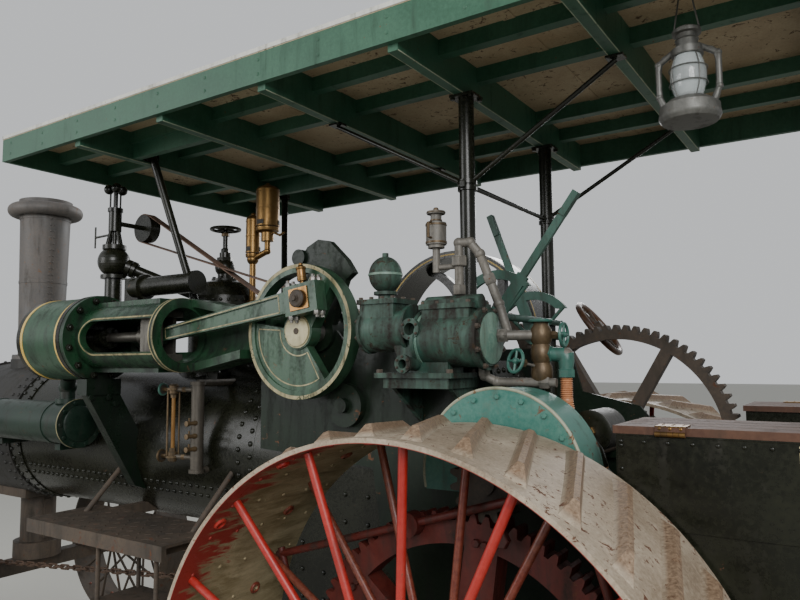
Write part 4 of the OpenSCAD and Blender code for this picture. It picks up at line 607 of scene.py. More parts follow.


# Painted shade: below 1.86 m the engine frame's green darkens, for the shade under the guide.
engine_green = coat("engine_green", (0.006, 0.030, 0.012), (0.022, 0.062, 0.030), grime_and_shade=(0.004, 0.006, 0.004),
                    gloss=0.24, dirt=0.85, chips=0.3, shine=0.36, painted_shade_below=1.86)
plate_green = coat("plate_green", (0.004, 0.009, 0.005), (0.012, 0.021, 0.012), grime_and_shade=(0.006, 0.006, 0.005),
                   gloss=0.34, dirt=0.6, chips=0.4, shine=0.22)
line_cream = coat("line_cream", (0.22, 0.18, 0.075), (0.38, 0.34, 0.2), grime_and_shade=(0.05, 0.05, 0.025),
                  rust=(0.05, 0.06, 0.03), gloss=0.42, dirt=0.75, chips=0.9, grain=1.5)
dress(engine_green, "engine_frame")
dress(plate_green, "side_brackets", "valve_rod")
guide_r = 0.155
guide_x = 1.530
line_back = guide_x + 0.035
line_half = 0.085
round_x = guide_x + 0.485
straight = 0.440
window = [(line_back, line_half * (1 - i / 6)) for i in range(13)]
window += [(line_back + straight * i / 12, -line_half) for i in range(1, 12)]
for i in range(25):
    turn = math.pi * (i / 24 - 0.5)
    window.append((round_x + line_half * math.cos(turn), line_half * math.sin(turn)))
window += [(round_x - straight * i / 12, line_half) for i in range(1, 12)]
guide_lines = Shapes()
for s in (-1, 1):
    normals = [Vector((0, s * math.sqrt(guide_r ** 2 - z ** 2), z)) for x, z in window]
    path = [at(x, engine_y, crank_z) + normal for (x, z), normal in zip(window, normals)]
    ribbon(guide_lines, path, normals, 0.0085)
for x, half in ((guide_x + 0.006, 0.005), (guide_x + 0.029, 0.003)):
    guide_lines.band(at(x, engine_y, crank_z), ahead, 0.168, half, 0.002, 0.001, 0, 96)
guide_lines.piece("guide_lines", "frame", "green_paint", line_cream)
frame_bolts = Shapes()
for x, z in ((1.12, 0.045), (1.12, -0.060), (1.04, 0.045), (1.04, -0.060), (1.22, 0.0)):
    frame_bolts.nut(at(x, 0.4706, crank_z + z), leftward, 0.017, 0.016)
for y, z in ((0.700, 1.735), (0.600, 1.735), (0.560, 1.700)):
    frame_bolts.nut(at(flange_x - 0.020, y, z), -ahead, 0.016, 0.015)
frame_bolts.piece("frame_bolts", "frame", "green_paint", engine_green)

# Crosshead and connecting rod: lines, strap bolts, keeper and oil cup
# A forged rod with sunk sides, lined in cream. Bolts hold its strap round the bronze brasses, a
# dark plate keeps them on the crank pin, and a brass cup with a knob on its lid oils them.
old_steel = coat("old_steel", (0.07, 0.065, 0.055), (0.15, 0.14, 0.12), grime_and_shade=(0.02, 0.017, 0.012), gloss=0.3,
                 dirt=0.6, chips=0.2, metal=0.7)
bronze = coat("bronze", (0.2, 0.105, 0.035), (0.33, 0.19, 0.075), grime_and_shade=(0.04, 0.026, 0.014),
              rust=(0.05, 0.1, 0.08), gloss=0.3, dirt=0.4, chips=0.2, metal=0.85)
bare_steel = coat("bare_steel", (0.26, 0.25, 0.23), (0.4, 0.38, 0.35), grime_and_shade=(0.05, 0.04, 0.03), gloss=0.24,
                  dirt=0.25, chips=0.0, metal=0.9, grain=0.6)
brass = coat("brass", (0.14, 0.075, 0.022), (0.24, 0.15, 0.058), grime_and_shade=(0.035, 0.024, 0.012),
             rust=(0.05, 0.075, 0.055), gloss=0.3, dirt=0.45, chips=0.2, metal=0.85)
dress(old_steel, "crosshead")
dress(disc_green, "connecting_rod")
dress(bronze, "crank_brasses")
rod_len = 0.890
throw, crank_turn = 0.145, math.radians(121)
pin_x = crank_x + throw * math.cos(crank_turn)
pin_z = crank_z + throw * math.sin(crank_turn)
pin_angle = math.asin((pin_z - crank_z) / rod_len)
cross_x = pin_x + rod_len * math.cos(pin_angle)


def in_rod(x, y, z):
    """A point given along the rod from its crosshead pin, at the rod's rest angle."""
    return at(cross_x + x * math.cos(pin_angle) + z * math.sin(pin_angle), y,
              crank_z - x * math.sin(pin_angle) + z * math.cos(pin_angle))


rod_up = (in_rod(0, 0, 1) - in_rod(0, 0, 0)).normalized()
sunk_side = [(-0.064, 0.023), (-0.064, -0.023), (-0.776, -0.035), (-0.776, 0.035)]
rod_lines, rod_bolts, keeper, cup = Shapes(), Shapes(), Shapes(), Shapes()
for s in (1, -1):
    path, y = [], engine_y + s * 0.019
    for (xa, za), (xb, zb) in zip(sunk_side, sunk_side[1:] + sunk_side[:1]):
        path += [in_rod(xa + (xb - xa) * t / 8, y, za + (zb - za) * t / 8) for t in range(8)]
    ribbon(rod_lines, path, [leftward * s] * len(path), 0.0050)
rod_lines.piece("rod_lines", "connecting_rod", "green_paint", line_cream)
for x in (-0.962, -0.828):
    for y in (0.624, 0.656):
        for s in (-1, 1):
            spot = in_rod(x, y, s * 0.060)
            rod_bolts.nut(spot, rod_up * s, 0.014, 0.016)
            rod_bolts.turned([(0.007, 0), (0.007, 0.026), (0, 0.028)], facing(spot, rod_up * s), 8)
rod_bolts.piece("rod_bolts", "connecting_rod", "machined_steel", bare_steel)
keeper.turned([(0.036, -0.003), (0.036, 0.003), (0.030, 0.008), (0.016, 0.009), (0.016, 0.012), (0, 0.012)],
              facing(in_rod(-rod_len, 0.6853, 0), leftward), 32)
keeper.nut(in_rod(-rod_len, 0.6970, 0), leftward, 0.012, 0.010)
keeper.piece("crank_pin_keeper", "connecting_rod", "dark_iron", chassis_iron)
cup_foot = facing(in_rod(-rod_len, 0.640, 0.0605), rod_up)
cup.turned([(0.0188, 0.016), (0.0195, 0.020), (0.0195, 0.027), (0.0188, 0.030)], cup_foot, 24)
cup.turned([(0.0188, 0.060), (0.0205, 0.063), (0.0205, 0.070), (0.012, 0.075), (0.006, 0.084), (0.007, 0.088),
            (0, 0.090)], cup_foot, 24)
cup.piece("oil_cup_trim", "connecting_rod", "bronze", brass)

# Crankshaft and crank disc: rim line, sector line and hub rings
# A cast disc with a solid sector against the crank pin, keyed to a bare steel shaft. It is green
# with cream lines, and its hub is painted cream round the shaft's dark centre.
hub_cream = coat("hub_cream", (0.36, 0.31, 0.17), (0.5, 0.46, 0.3), grime_and_shade=(0.12, 0.10, 0.05), gloss=0.42,
                 dirt=0.4, chips=0.4)
dress(bare_steel, "crankshaft")
dress(disc_green, "crank_disc")
disc_y = 0.595
sector_turn, sector_half = math.radians(-58), math.radians(62)
disc_lines, shaft_end, shaft_centre = Shapes(), Shapes(), Shapes()
disc_lines.disc_line(at(crank_x, disc_y, crank_z), leftward, 0.270, 0.0072, 0.0009, 96)
disc_lines.disc_line(at(crank_x, disc_y + 0.002, crank_z), leftward, 0.066, 0.003, 0.0001, 48)
disc_lines.disc_line(at(pin_x, disc_y + 0.002, pin_z), leftward, 0.036, 0.0025, 0.0001, 32)
sector_centre = at(crank_x, disc_y - 0.006, crank_z)
outer_turns = [sector_turn + sector_half * (i / 16 - 1) for i in range(33)]
inner_turns = [sector_turn + sector_half * (1 - i / 8) for i in range(17)]
sector = [spot for spot, out in circle(sector_centre, "Y", 0.222, outer_turns)]
sector += [spot for spot, out in circle(sector_centre, "Y", 0.100, inner_turns)]
ribbon(disc_lines, sector, [leftward] * len(sector), 0.005)
disc_lines.piece("disc_lines", "crank", "green_paint", line_cream)
shaft_face = facing(at(crank_x, disc_y + 0.001, crank_z), leftward)
shaft_end.turned([(0.062, 0.001), (0.062, 0.004), (0.058, 0.006), (0.012, 0.006), (0.009, 0.003), (0, 0.003)],
                 shaft_face, 48)
shaft_end.piece("crankshaft_end", "crank", "green_paint", hub_cream)
shaft_centre.turned([(0.013, 0.006), (0.013, 0.0085), (0.010, 0.0095), (0.004, 0.008), (0, 0.008)],
                    shaft_face, 24)
shaft_centre.piece("crankshaft_centre", "crank", "dark_iron", chassis_iron)

# Flywheel: gilt lines round the rim
# A cast wheel keyed to the right end of the shaft, black, with one gilt line near each edge of
# its face and one on each side of the rim.
dress(black_paint, "flywheel")
fly_r = 0.500
fly_lines = Shapes()
for y in (-0.718, -0.952):
    fly_lines.band(at(crank_x, y, crank_z), leftward, fly_r, 0.005, 0.002, 0.0009, 0, 128)
for y, s in ((-0.700, 1), (-0.970, -1)):
    fly_lines.disc_line(at(crank_x, y, crank_z), leftward * s, fly_r - 0.020, 0.004, 0.0009, 128)
fly_lines.piece("flywheel_lines", "crank", "black_paint", line_gold)

# Governor and its belt
# The governor is black cast iron and stands over the steam pipe. A crossed leather belt over two
# pulleys turns it from the crankshaft.
belt_leather = coat("belt_leather", (0.07, 0.035, 0.02), (0.14, 0.08, 0.05), gloss=0.6, dirt=0.5, chips=0.1)
dress(black_paint, "governor")
dress(belt_leather, "governor_belt")

# Whistles: lips, rings and slots
# Two spun brass bells on turned stems, each over a cup, with beads round them, and dark blocks as
# painted shade in the slots where the steam blows out.
dress(brass, "whistle")
whistle_trim, whistle_slot_shade = Shapes(), Shapes()
# columns of a bell: its X, its foot's Z, radius, height
for x, z, r, high in ((1.755, 2.506, 0.039, 0.187), (1.645, 2.640, 0.063, 0.205)):
    foot = at(x, 0, z)
    whistle_trim.turned([(0, -0.036), (r * 0.5, -0.034), (r * 0.98, -0.024), (r * 1.03, -0.012),
                         (r * 1.03, -0.006), (0, -0.006)], facing(foot, up), 36)
    whistle_trim.turned([(r + 0.0006, high - 0.001), (r * 0.9, high + 0.010), (r * 0.55, high + 0.020),
                         (0.012, high + 0.026), (0, high + 0.026)], facing(foot, up), 36)
    for rise in (0.004, high - 0.012, high * 0.5):
        whistle_trim.band(foot + up * rise, up, r, 0.003, 0.001, 0.0022, sides=36)
    # Painted shade: each steam slot is a thin dark block on the bell, standing for the shade inside the
    # opening.
    slot_turns = [math.radians(95 + 120 * i) for i in range(3)]
    for spot, out in circle(foot + up * 0.016, "Z", r * 0.99, slot_turns):
        whistle_slot_shade.slab((-r * 0.34, -0.008, -0.001), (r * 0.34, 0.016, 0.0022), facing(spot, out), 0.0008)
whistle_trim.piece("whistle_trim", "frame", "brass", brass)
whistle_slot_shade.piece("whistle_slot_shade", "frame", "dark_iron", soot_black)

# Feed pump: covers, studs and seams
# A cast steam pump in worn teal, bolted to its knee plate. Studs and hexagon nuts hold the
# covers of its cylinders and the lids of its valve chests.
teal_paint = coat("teal_paint", (0.018, 0.052, 0.038), (0.075, 0.135, 0.10), grime_and_shade=(0.011, 0.009, 0.006),
                  rust=(0.04, 0.026, 0.014), gloss=0.4, dirt=1.15, chips=0.9, shine=0.35)
cover_teal = coat("cover_teal", (0.07, 0.135, 0.105), (0.19, 0.27, 0.21), grime_and_shade=(0.03, 0.028, 0.018),
                  gloss=0.4, dirt=0.6, chips=0.6)
dress(teal_paint, "steam_pump")
pump_y = 0.600
covers, studs = Shapes(), Shapes()
# columns of a round cover: centre, way, axis, radius or 0, stud circle, studs, stud size, and
# how far the studs stand back
for centre, way, axis, r, round_r, count, size, back in (
        (at(0.010, pump_y, 1.978), -ahead, "X", 0.088, 0.101, 8, 0.010, 0.010),
        (at(0.520, pump_y, 2.020), ahead, "X", 0.060, 0.077, 8, 0.010, 0),
        (at(0.276, 0.702, 2.014), leftward, "Y", 0, 0.031, 6, 0.005, 0),
        (at(0.280, 0.742, 1.893), leftward, "Y", 0, 0.025, 6, 0.005, 0)):
    if r:
        covers.turned([(r, -0.001), (r, 0.004), (r * 0.9, 0.008), (r * 0.42, 0.010), (r * 0.3, 0.016),
                       (0, 0.017)], facing(centre, way), 48)
    for spot, out in circle(centre - way * back, axis, round_r, turns(count, 0.5)):
        studs.nut(spot, way, size, size)
        studs.turned([(size * 0.5, 0), (size * 0.5, size * 1.5), (0, size * 1.7)], facing(spot, way), 8)
# columns of a chest lid: its X and Y from and to, and its top
for x0, x1, y0, y1, z in ((0.064, 0.242, 0.524, 0.664, 2.100), (0.368, 0.510, 0.532, 0.668, 2.130)):
    along_sides = [(x0 + (x1 - x0) * i / 3, y) for i in range(4) for y in (y0, y1)]
    for x, y in along_sides + [(x, (y0 + y1) / 2) for x in (x0, x1)]:
        studs.nut(at(x, y, z), up, 0.009, 0.009)
for x in (0.134, 0.424):
    for y in (0.508, 0.672):
        studs.nut(at(x, y, 1.861), up, 0.013, 0.013)
covers.band(at(0.446, pump_y, 2.226), up, 0.0635, 0.005, 0.001, 0.0018, sides=48)
for x in (0.036, 0.256):
    covers.band(at(x, pump_y, 1.978), ahead, 0.098, 0.006, 0.001, 0.003, sides=48)
covers.piece("pump_covers", "frame", "teal_paint", cover_teal)
studs.piece("pump_studs", "frame", "dark_iron", chassis_iron)

# Valves: bodies, hand wheels and the elbow on the valve column
# Brass globe valves screwed one on the other, with iron hand wheels painted teal, and a teal
# elbow that leads off to the hose. The throttle's bigger wheel is black.
wheel_teal = coat("wheel_teal", (0.016, 0.072, 0.056), (0.05, 0.13, 0.10), gloss=0.35, dirt=0.45, chips=0.5,
                  shine=0.4)
dull_bronze = coat("dull_bronze", (0.065, 0.042, 0.02), (0.14, 0.095, 0.048), grime_and_shade=(0.02, 0.016, 0.01),
                   gloss=0.38, dirt=0.6, chips=0.3, metal=0.5)
valve_x, valve_y = -0.135, 0.520
valve_bodies, valve_wheels, throttle_wheel, elbow = Shapes(), Shapes(), Shapes(), Shapes()
for z in (1.863, 1.925, 1.987):
    valve_bodies.turned([(0, -0.046), (0.024, -0.046), (0.026, -0.034), (0.035, -0.020), (0.0365, 0),
                         (0.035, 0.020), (0.026, 0.034), (0.024, 0.046), (0, 0.046)],
                        facing(at(valve_x, valve_y, z), up), 24)
    valve_bodies.nut(at(valve_x, valve_y, z + 0.030), up, 0.026, 0.012)
# columns of a hand wheel: centre, way its stem leaves, radius, wire, the piece it belongs to
for centre, way, r, wire, rims in (
        (at(valve_x, valve_y, 2.035), up, 0.036, 0.0056, valve_wheels),
        (at(-0.209, 0.505, 1.987), -ahead, 0.038, 0.0056, valve_wheels),
        (at(-0.085, 0.620, 1.901), (0.444, 0.871, 0.208), 0.038, 0.0056, valve_wheels),
        (at(dome_x, 0.0, 2.662), up, 0.080, 0.0090, throttle_wheel)):
    place = facing(centre, way)
    rims.wire_ring(place, r, wire, 8, 36)
    rims.turned([(0, -0.007), (wire * 1.9, -0.007), (wire * 1.9, 0.005), (wire, 0.010), (0, 0.011)],
                place, 12)
    for spot, out in circle(Vector(), "Z", r, turns(4)):
        rims.pipe([place @ (spot * 0.1), place @ spot], wire * 0.85, 8)
    valve_bodies.turned([(0, -0.040), (wire * 2.6, -0.040), (wire * 2.6, -0.026), (wire * 1.5, -0.018),
                         (0, -0.018)], place, 6)
# columns of the elbow's way: X, Y, Z, radius
bend = ((-0.150, 0.516, 1.924, 0.024), (-0.185, 0.507, 1.921, 0.024), (-0.202, 0.502, 1.920, 0.027),
        (-0.214, 0.500, 1.914, 0.028), (-0.213, 0.500, 1.900, 0.027), (-0.212, 0.500, 1.875, 0.024),
        (-0.212, 0.500, 1.846, 0.024))
elbow.pipe([at(x, y, z) for x, y, z, r in bend], [r for x, y, z, r in bend], 20)
elbow.turned([(0.029, -0.010), (0.029, 0.014), (0.024, 0.018), (0, 0.018)],
             facing(at(-0.212, 0.500, 1.856), up), 6)
elbow.turned([(0, -0.012), (0.029, -0.012), (0.029, 0.010), (0, 0.010)],
             facing(at(-0.160, 0.513, 1.924), -ahead), 6)
elbow.piece("teal_elbow", "frame", "teal_paint", wheel_teal)
valve_wheels.piece("valve_wheels", "frame", "teal_paint", wheel_teal)
throttle_wheel.piece("throttle_wheel", "frame", "black_paint", black_paint)
valve_bodies.piece("valve_bodies", "frame", "bronze", dull_bronze)

# Gauge glass: tube, guard rods and cocks on the water column
# A glass tube with amber water between brass cocks on an iron column, guarded by two rods. Its
# try cocks are screwed in one over the other beside it.
column_iron = coat("column_iron", (0.035, 0.03, 0.024), (0.09, 0.078, 0.06), gloss=0.45, dirt=0.4, chips=0.3,
                   metal=0.4)
amber = coat("amber_glass", (0.13, 0.06, 0.015), (0.2, 0.11, 0.035), grime_and_shade=(0.2, 0.08, 0.02), gloss=0.08,
             dirt=0.1, chips=0.0)
dress(column_iron, "gauge_glasses")
gauge_x, gauge_y = 1.770, 0.500
gauge_foot = at(gauge_x, gauge_y, 0)
stem_way = (math.cos(math.radians(8)), math.sin(math.radians(8)), 0)
glass_tube, glass_brass, glass_wheel = Shapes(), Shapes(), Shapes()
glass_tube.plug(facing(gauge_foot, up), 0.0098, 1.478, 1.752, 16)
for spot, out in circle(gauge_foot, "Z", 0.027, (math.radians(45), math.radians(225))):
    glass_brass.plug(facing(spot, up), 0.0046, 1.452, 1.778, 10)
# columns of a cock: its Z, its washer's rise, which way its gland points, the piece of its wheel
for z, rise, inward, wheel in ((1.455, 0.001, 1, glass_brass), (1.775, 0.004, -1, glass_wheel)):
    cock = gauge_foot + up * z
    glass_brass.turned([(0, -0.026), (0.016, -0.026), (0.0225, -0.018), (0.0225, 0.018), (0.016, 0.026),
                        (0, 0.026)], facing(cock, up), 20)
    glass_brass.plug(facing(cock + up * rise, up), 0.034, -0.007, 0.003, 24)
    glass_brass.plug(facing(cock + up * inward * 0.022, up * inward), 0.015, 0, 0.018, 6)
    hub = facing(at(gauge_x + 0.070, 0.5095, z), stem_way)
    wheel.ring(0.027, [(0.0052 * math.cos(turn), 0.0062 * math.sin(turn)) for turn in turns(8)], hub, 28)
    glass_brass.turned([(0, -0.03), (0.010, -0.03), (0.010, 0.010), (0, 0.012)], hub, 6)
    glass_brass.plug(facing(at(1.690, 0.4895, z), (0.99, 0.13, 0)), 0.013, 0, 0.020, 6)
for z in (1.500, 1.560, 1.620):
    glass_brass.turned([(0, 0), (0.012, 0), (0.012, 0.012), (0.0095, 0.016), (0.0095, 0.046), (0.013, 0.048),
                        (0.013, 0.058), (0, 0.059)], facing(at(1.606, gauge_y, z), leftward), 12)
    glass_brass.pipe([at(1.606, 0.540, z), at(1.606, 0.540, z + 0.026)], 0.0045, 8)
glass_tube.piece("gauge_tube", "frame", "bronze", amber)
glass_brass.piece("gauge_brass", "frame", "bronze", dull_bronze)
glass_wheel.piece("gauge_wheel", "frame", "teal_paint", wheel_teal)

# Feedwater heater: end bolts, painted rims and straps
# A long drum beside the barrel in dark green, held to its brackets, with two straps round it,
# cream lines near its ends and nuts round both of them.
deep_green = coat("deep_green", (0.005, 0.014, 0.009), (0.014, 0.03, 0.02), gloss=0.32, dirt=0.5, chips=0.3,
                  shine=0.3)
dress(deep_green, "feedwater_heater")
heater_rear, heater_front = 2.436, 3.714
heater_y, heater_z = 0.568, 1.588
heater_bolts, heater_line = Shapes(), Shapes()
for x, way in ((heater_rear, -1), (heater_front, 1)):
    end = at(x, heater_y, heater_z)
    for spot, out in circle(end, "X", 0.112, turns(10)):
        heater_bolts.nut(spot, ahead * way, 0.010, 0.010)
    heater_line.band(end - ahead * way * 0.006, ahead, 0.128, 0.003, 0.002, 0.001, 0)
heater_bolts.turned([(0.094, -0.001), (0.094, 0.005), (0.086, 0.010), (0.020, 0.014), (0, 0.014)],
                    facing(at(heater_rear, heater_y, heater_z), -ahead), 48)
for x in (2.635, 3.235):
    heater_bolts.band(at(x, heater_y, heater_z), ahead, 0.112, 0.020, 0.002, 0.004)
heater_bolts.piece("heater_bolts", "frame", "dark_green_paint", deep_green)
heater_line.piece("heater_line", "frame", "dark_green_paint", line_cream)

# Pump pipes and lubricator: unions, bands and side pipe
# Grey iron pipe, joined by screwed unions with hexagons. The lubricator is a turned pot on the
# pipe, with bronze bands round it and a small bent pipe at its side.
grey_iron = coat("grey_iron", (0.09, 0.085, 0.075), (0.19, 0.17, 0.14), gloss=0.5, dirt=0.5, chips=0.6,
                 metal=0.3)
dress(grey_iron, "pump_pipes", "lubricator")
unions, oiler = Shapes(), Shapes()
# columns of a union: its centre, way, radius
for spot, way, r in ((at(0.131, 0.600, 2.250), up, 0.029), (at(0.131, 0.600, 2.150), up, 0.024),
                     (at(0.030, 0.565, 2.184), (-0.3, -0.16, -0.94), 0.022),
                     (at(-0.020, 0.575, 1.987), (1, 0.3, 0), 0.025),
                     (at(0.060, 0.560, 1.866), up, 0.022), (at(-0.150, 0.531, 1.828), ahead, 0.022)):
    unions.turned([(0, -0.017), (r * 0.9, -0.017), (r, -0.014), (r, 0.014), (r * 0.9, 0.017), (0, 0.017)],
                  facing(spot, way), 6)
unions.piece("pipe_unions", "frame", "grey_iron", grey_iron)
oiler_x, oiler_y = 0.223, 0.600
# columns of a band: radius, its middle's Z, half its height
for r, z, half in ((0.0372, 2.326, 0.004), (0.0372, 2.390, 0.004), (0.0202, 2.407, 0.003),
                   (0.0332, 2.435, 0.002)):
    oiler.band(at(oiler_x, oiler_y, z), up, r, half, 0.001, 0.002, sides=36)
oiler.turned([(0.010, -0.001), (0.010, 0.010), (0.007, 0.014), (0, 0.015)],
             facing(at(oiler_x, oiler_y, 2.440), up), 12)
oiler.pipe([at(oiler_x, y, z) for y, z in ((0.636, 2.340), (0.655, 2.340), (0.655, 2.392), (0.634, 2.396))],
           0.005, 8)
oiler.piece("oiler_bands", "frame", "brass", dull_bronze)


# Hoses and drum: copper winding, black hose, the drum's end and fitting
# One hose is wound round with copper wire, the other is plain and black, and both are fixed at
# both ends. The drum behind them is painted black, with a brass fitting in its end.
def drum_black(place, patches, fine, shade):
    """Only the hose in front shows copper, and the drum behind it is black."""
    behind = 1 - place.along(1).clipped(0.434, 0.438)
    return behind.mixed(shade, patches.clipped(0.3, 0.7).mixed((0.006, 0.006, 0.005), (0.03, 0.028, 0.022)))


copper_hose = coat("copper_hose", (0.33, 0.13, 0.055), (0.5, 0.24, 0.12), grime_and_shade=(0.1, 0.05, 0.03), gloss=0.4,
                   dirt=0.3, chips=0.2, metal=0.1, layers=drum_black)
dress(copper_hose, "hoses")
winding, drum_trim, drum_fitting, black_hose = Shapes(), Shapes(), Shapes(), Shapes()
wire_step = 0.0035
hose_way = [at(-0.212, 0.500, 1.844), at(-0.212, 0.500, 1.770), at(-0.222, 0.492, 1.690),
            at(-0.232, 0.480, 1.590), at(-0.234, 0.4720, 1.546)]
wound = []
for p, q in zip(hose_way, hose_way[1:]):
    steps = max(2, int((q - p).length / wire_step))
    wound += [p.lerp(q, i / steps) for i in range(steps)]
winding.pipe(wound, [0.0212 if i % 2 else 0.0178 for i in range(len(wound))], 16)
winding.piece("hose_winding", "frame", "copper_hose", copper_hose, crease=60)
drum_trim.turned([(0.0700, -0.003), (0.0712, 0.000), (0.066, 0.002), (0.050, 0.0015), (0, 0.0015)],
                 facing(at(-0.264, 0.430, 1.664), leftward), 48)
drum_trim.piece("drum_end", "frame", "black_paint", black_paint)
drum_fitting.turned([(0, 0), (0.020, 0), (0.020, 0.016), (0.016, 0.020), (0.016, 0.034), (0, 0.034)],
                    facing(at(-0.2645, 0.430, 1.663), leftward), 6)
drum_fitting.piece("drum_fitting", "frame", "brass", brass)
black_hose.pipe([at(-0.2645, 0.450, 1.663), at(-0.266, 0.466, 1.662), at(-0.272, 0.4755, 1.656),
                 at(-0.306, 0.479, 1.612), at(-0.320, 0.4735, 1.563), at(-0.3165, 0.469, 1.545),
                 at(-0.314, 0.460, 1.5395), at(-0.314, 0.4452, 1.5395)], 0.0152, 16)
black_hose.piece("black_hose", "frame", "black_paint", black_paint)

# Gear guard: its worn rim and bolts
# Sheet steel bent over the pinion and bolted to the side plate, bright teal, with the paint worn
# pale along its turned edge.
guard_teal = coat("guard_teal", (0.022, 0.115, 0.09), (0.085, 0.19, 0.15), grime_and_shade=(0.05, 0.05, 0.035),
                  gloss=0.4, dirt=0.35, chips=0.7, shine=0.4)
guard_rim = coat("guard_rim", (0.22, 0.24, 0.17), (0.36, 0.34, 0.25), grime_and_shade=(0.10, 0.09, 0.05),
                 rust=(0.20, 0.09, 0.03), gloss=0.5, dirt=0.5, chips=0.8)
dress(guard_teal, "gear_guard")
guard_centre = at(-0.0778, 0, 1.5454)
guard_y, bolt_circle = 0.745, 0.245
edge_y, edge_r = 0.7425, 0.2705
guard_bolts, guard_edge = Shapes(), Shapes()
bolt_turns = [math.radians(12 + 19.5 * i) for i in range(9)]
edge_turns = [math.radians(a) for a in range(-12, 193, 3)]
for spot, out in circle(guard_centre + leftward * guard_y, "Y", bolt_circle, bolt_turns):
    guard_bolts.nut(spot, leftward, 0.009, 0.008)
edge_circle = circle(guard_centre + leftward * edge_y, "Y", edge_r, edge_turns)
guard_edge.pipe([spot for spot, out in edge_circle], 0.0055, 8)
guard_bolts.piece("guard_bolts", "frame", "teal_paint", guard_teal)
guard_edge.piece("guard_edge", "frame", "teal_paint", guard_rim)

# Control levers: pivot bolts
# Two forged levers, painted green, that swing beside notched quadrants. Each turns on a bolt
# with a nut on both sides.
lever_green = coat("lever_green", (0.014, 0.05, 0.035), (0.04, 0.10, 0.075), gloss=0.4, dirt=0.6, chips=0.4,
                   shine=0.4)
dress(lever_green, "control_levers")
lever_bolts = Shapes()
for y, z in ((0.250, 2.078), (-0.100, 2.012)):
    for s in (-1, 1):
        spot = at(0.1547, y + s * 0.022, z)
        lever_bolts.nut(spot, leftward * s, 0.020, 0.014)
        lever_bolts.turned([(0.010, 0), (0.010, 0.022), (0, 0.024)], facing(spot, leftward * s), 10)
lever_bolts.piece("lever_bolts", "frame", "teal_paint", lever_green)

# Platform and running board: tread bars
# Rolled steel plate with a raised pattern of short bars, brown and worn, bolted to the firebox
# and hung under the barrel.
dress(chassis_iron, "platform", "step_plate")
bar_pitch = 0.062
# columns of a plate: piece, first bar's X, Y and Z, bars along and across, spacing across,
# and a bar's half length, depth, height and chamfer
for name, x0, y0, z, bars_along, bars_across, across, half, sunk, proud, cut in (
        ("tread_bars", -1.36, -0.28, 0.7998, 20, 9, 0.07, 0.016, 0.0010, 0.0016, 0.0006),
        ("board_bars", 1.385, 0.530, 1.168, 16, 6, bar_pitch, 0.015, 0.0008, 0.0014, 0.0005)):
    bars = Shapes()
    for i in range(bars_along):
        for j in range(bars_across):
            lean = math.radians(45 if (i + j) % 2 else -45)
            place = Matrix.Translation(at(x0 + i * bar_pitch, y0 + j * across, z))
            place = place @ Matrix.Rotation(lean, 4, "Z")
            bars.slab((-half, -0.003, -sunk), (half, 0.003, proud), place, cut)
    bars.piece(name, "frame", "dark_iron", chassis_iron)

# Canopy frame and posts: joist edges, fascia screws, post collars and bolts
# Softwood joists painted green, worn pale along their lower corners, on black iron posts. Screws
# hold the edge boards, and nuts and clamped collars hold the posts and the long rods.
canopy_green = coat("canopy_green", (0.014, 0.060, 0.033), (0.042, 0.115, 0.07), grime_and_shade=(0.009, 0.025, 0.015),
                    gloss=0.42, dirt=0.35, chips=0.3, shine=0.4)
edge_cream = coat("edge_cream", (0.20, 0.25, 0.17), (0.34, 0.35, 0.25), grime_and_shade=(0.06, 0.09, 0.05), gloss=0.6,
                  dirt=0.5, chips=0.4)
dress(canopy_green, "canopy_frame")
dress(black_paint, "canopy_posts")
from_axle = Matrix.Translation(at(0, 0, 0))
joist_low, joist_pitch, joist_half = 2.928, 0.602, 0.0195
front_joist_x = 2.017
joist_edges, fascia_screws, post_bolts = Shapes(), Shapes(), Shapes()
for i in range(7):
    for s in (-1, 1):
        x = front_joist_x - joist_pitch * i + s * joist_half
        joist_edges.slab((x - 0.0016, -0.888, joist_low - 0.0006), (x + 0.0016, 0.888, joist_low + 0.0030),
                         from_axle, 0.0006)
joist_edges.piece("joist_edges", "frame", "dark_green_paint", edge_cream)
for i in range(15):
    for z in (2.985, 3.040):
        for s in (-1, 1):
            fascia_screws.turned([(0.007, -0.0005), (0.007, 0.001), (0.005, 0.0022), (0, 0.0024)],
                                 facing(at(-1.55 + i * 0.295, s * 0.915, z), leftward * s), 10)
fascia_screws.piece("fascia_screws", "frame", "dark_green_paint", canopy_green)
post_x, post_y = 0.200, 0.400
for s in (-1, 1):
    for dx in (-0.040, 0.040):
        for dy in (-0.035, 0.035):
            post_bolts.nut(at(post_x + dx, s * (post_y + dy), joist_low - 0.0105), -up, 0.011, 0.009)
    for z in (2.585, 2.560):
        post_bolts.band(at(post_x, s * post_y, z), up, 0.030, 0.009, 0.001, 0.007, sides=28)
    post_bolts.slab((-0.012, -0.045, -0.014), (0.012, 0.045, 0.014),
                    Matrix.Translation(at(post_x, s * post_y, 2.5725)), 0.003)
    for z in (2.955, 3.020):
        for y in (0.475, 0.527):
            post_bolts.nut(at(1.9865, s * y, z), -ahead, 0.013, 0.010)
post_bolts.piece("post_bolts", "frame", "black_paint", black_paint)

